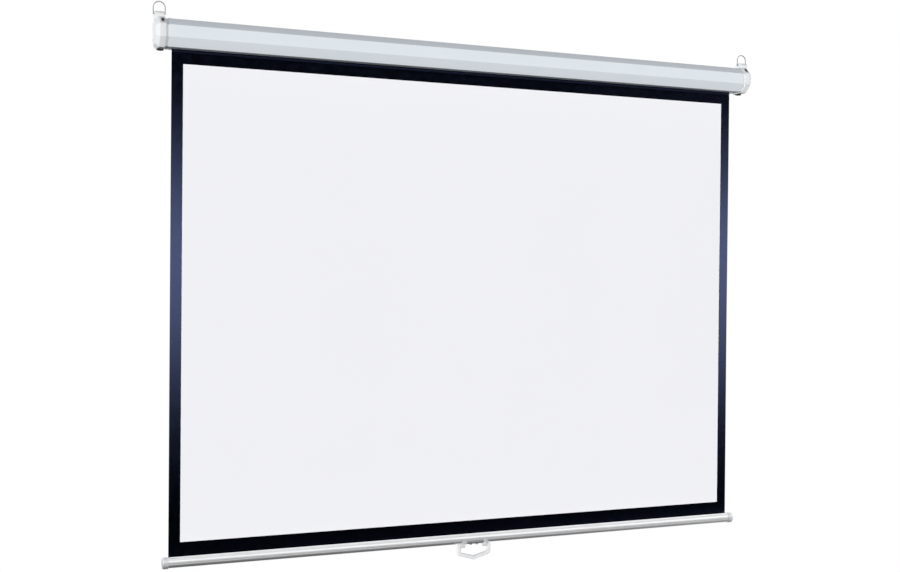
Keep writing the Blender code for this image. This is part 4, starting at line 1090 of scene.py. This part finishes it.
def bar_clip():
    """The saddle under the bar, with a rounded tab and an ear at each end; its middle stretch is
    painted darker as shade.
    """
    inner = BAR_RADIUS + GAP
    saddle = saddle_outline(inner + GAP, inner + SADDLE_WALL, SADDLE_SPREAD)
    half = BRACKET_HALF - GAP
    clip = piece_from("bar_clip", cushioned_x(saddle, -half, half, SADDLE_FILLET), looks["clip"])
    crown = BAR_Z - inner - SADDLE_WALL / 2
    ear = arc((BAR_Y, HANDLE_Z), EAR_ROUND, 180, 360, EAR_STEPS)
    ear += [(BAR_Y + EAR_ROUND, crown), (BAR_Y - EAR_ROUND, crown)]
    for side in (-1, 1):
        join_in(clip, clip_tab(inner, side))
        low, high = span(BRACKET_HALF - EAR_WIDTH, BRACKET_HALF + GAP / 2, side)
        add(clip, cushioned_x(ear, low, high, EAR_FILLET))
        low, high = span(BRACKET_HALF - HANDLE_PIN_LENGTH, BRACKET_HALF + 2 * GAP, side)
        cut(clip, rod(HANDLE_PIN + GAP, low, high, along_x(BAR_Y, HANDLE_Z), PLUG_SIDES))
        screw_hole(clip, side)
    # The middle stretch between the tabs takes the darker copy of the clip's surface: painted shade
    # under the bar
    clip.data.materials.append(looks["saddle"])
    for face in clip.data.polygons:
        if abs(face.center.x) < BRACKET_HALF - TAB_WIDTH:
            face.material_index = 1
    dress(clip, "screen", "handle_bracket")


def handle_outline():
    """A shield-shaped loop, open at the top between its arms, as (x, z), anticlockwise."""
    outer, inner = HANDLE_HALF, HANDLE_GAP_HALF
    top = HANDLE_Z + HANDLE_ARM
    side = HANDLE_Z - HANDLE_SIDE
    shoulder = HANDLE_Z - HANDLE_SHOULDER
    apex = handle_low.z
    lean = HANDLE_HALF - HANDLE_BAND / 4
    slope = (shoulder - apex) / lean
    inner_apex = apex + HANDLE_BAND * math.hypot(1, slope)
    inner_shoulder = inner_apex + slope * inner
    corners = [
        (-outer, top), (-outer, side), (-lean, shoulder), (0.0, apex), (lean, shoulder),
        (outer, side), (outer, top), (inner, top), (inner, inner_shoulder), (0.0, inner_apex),
        (-inner, inner_shoulder), (-inner, top),
    ]
    end, bend, corner, inside = 0.48, 1.0, 0.5, 0.4
    shares = [end, bend, corner, inside, corner, bend, end, end, inside, inside, inside, end]
    return rounded(corners, [HANDLE_BAND * share for share in shares], HANDLE_CORNER_STEPS)


def handle_grip():
    """The moulded loop with soft edges and its two pins."""
    outline = handle_outline()
    pairs = fillet(HANDLE_THICKNESS / 2, HANDLE_FILLET, HANDLE_FILLET_STEPS)
    layers = [(BAR_Y - height, inset) for inset, height in reversed(pairs)]
    layers += [(BAR_Y + height, inset) for inset, height in pairs]
    rings = [[(x, y, z) for x, z in inset_outline(outline, inset)] for y, inset in layers]
    grip = piece_from("handle_grip", skin(rings), looks["handle"])
    for side in (-1, 1):
        low, high = span(BRACKET_HALF - HANDLE_PIN_LENGTH + GAP,
                         HANDLE_GAP_HALF + HANDLE_BAND / 2, side)
        add(grip, rod(HANDLE_PIN, low, high, along_x(BAR_Y, HANDLE_Z), PLUG_SIDES))
    dress(grip, "handle", "pull_handle")


def dress_bar():
    bar_tube()
    for side, name in SIDES:
        bar_knob(name, side)
    bar_clip()
    handle_grip()


# Light, floor and camera

def sun(name, towards, strength, colour, width):
    """A wide, distant light; what glossy surfaces mirror is the room instead."""
    data = bpy.data.lights.new(name, "SUN")
    data.energy = strength
    data.color = colour
    data.angle = math.radians(width)
    light = bpy.data.objects.new(name, data)
    light.rotation_euler = Vector(towards).to_track_quat("Z", "Y").to_euler()
    light.visible_glossy = False
    bpy.context.scene.collection.objects.link(light)


def ranged(tree, value, low, high):
    """A value between two limits brought to 0 to 1."""
    remap = tree.nodes.new("ShaderNodeMapRange")
    remap.inputs["From Min"].default_value = low
    remap.inputs["From Max"].default_value = high
    tree.links.new(value, remap.inputs["Value"])
    return remap.outputs["Result"]


def elevation_ramp(tree, height, stops):
    """Grey levels by elevation in degrees, from a direction's height brought to 0 to 1."""
    ramp = tree.nodes.new("ShaderNodeValToRGB")
    tree.links.new(height, ramp.inputs["Fac"])
    elements = ramp.color_ramp.elements
    elements.remove(elements[1])
    for index, (angle, level) in enumerate(stops):
        place = (math.sin(math.radians(angle)) + 1) / 2
        stop = elements[0] if index == 0 else elements.new(place)
        stop.position = place
        stop.color = (level, level, level, 1.0)
    return ramp.outputs["Color"]


def mixed(tree, factor, first, second):
    """Two colours, given as sockets or values, mixed by a factor."""
    mix = tree.nodes.new("ShaderNodeMix")
    mix.data_type = "RGBA"
    tree.links.new(factor, mix.inputs["Factor"])
    for socket, colour in (("A", first), ("B", second)):
        if isinstance(colour, tuple):
            mix.inputs[socket].default_value = (*colour, 1.0)
        else:
            tree.links.new(colour, mix.inputs[socket])
    return mix.outputs["Result"]


def light_world():
    """White for the camera, a studio room for reflections, a faint even light for the rest."""
    world = bpy.data.worlds.new("studio")
    bpy.context.scene.world = world
    world.use_nodes = True
    world.cycles.sampling_method = "NONE"
    tree = world.node_tree
    nodes, links = tree.nodes, tree.links
    nodes.clear()
    direction = nodes.new("ShaderNodeSeparateXYZ")
    links.new(nodes.new("ShaderNodeTexCoord").outputs["Generated"], direction.inputs["Vector"])
    height = ranged(tree, direction.outputs["Z"], -1.0, 1.0)
    front, right, around = (elevation_ramp(tree, height, room)
                            for room in (ROOM_FRONT, ROOM_RIGHT, ROOM_AROUND))
    around = mixed(tree, ranged(tree, direction.outputs["X"], *RIGHT_SECTOR), around, right)
    room = mixed(tree, ranged(tree, direction.outputs["Y"], *FRONT_SECTOR), front, around)
    ray = nodes.new("ShaderNodeLightPath").outputs
    ambient = mixed(tree, height, AMBIENT_BELOW, AMBIENT_ABOVE)
    colour = mixed(tree, ray["Is Glossy Ray"], ambient, room)
    colour = mixed(tree, ray["Is Camera Ray"], colour, WHITE)
    background = nodes.new("ShaderNodeBackground")
    links.new(colour, background.inputs["Color"])
    output = nodes.new("ShaderNodeOutputWorld")
    links.new(background.outputs["Background"], output.inputs["Surface"])


def pale_floor():
    """A plain pale floor well below the screen, outside the photograph's frame."""
    shape = bmesh.new()
    shape.faces.new([shape.verts.new((x, y, FLOOR_LEVEL)) for x, y in FLOOR_CORNERS])
    look = Look("pale_floor", (0.80, 0.80, 0.79), 0.85, Emission_Color=(*WHITE, 1.0),
                Emission_Strength=FLOOR_GLOW)
    floor = piece_from("floor", shape, look.material)
    floor.visible_diffuse = False
    floor.visible_glossy = False
    floor.visible_shadow = False


def place_camera():
    data = bpy.data.cameras.new("photo_camera")
    data.lens = CAMERA_LENS
    data.sensor_width = CAMERA_SENSOR
    data.clip_end = CAMERA_REACH
    camera = bpy.data.objects.new("photo_camera", data)
    turn = Matrix.Rotation(CAMERA_YAW, 3, "Z") @ Matrix.Rotation(CAMERA_PITCH, 3, "X")
    right, forward, up = (turn @ Matrix.Rotation(CAMERA_ROLL, 3, "Y")).transposed()
    axes = Matrix((right, up, -forward)).transposed().to_4x4()
    camera.matrix_world = Matrix.Translation(CAMERA_PLACE) @ axes
    bpy.context.scene.collection.objects.link(camera)
    bpy.context.scene.camera = camera


place_camera()
dress_frame()
dress_case()
hang_cloth()
dress_bar()
light_world()
for light in SUNS:
    sun(*light)
pale_floor()
bpy.context.scene.view_settings.view_transform = "Standard"
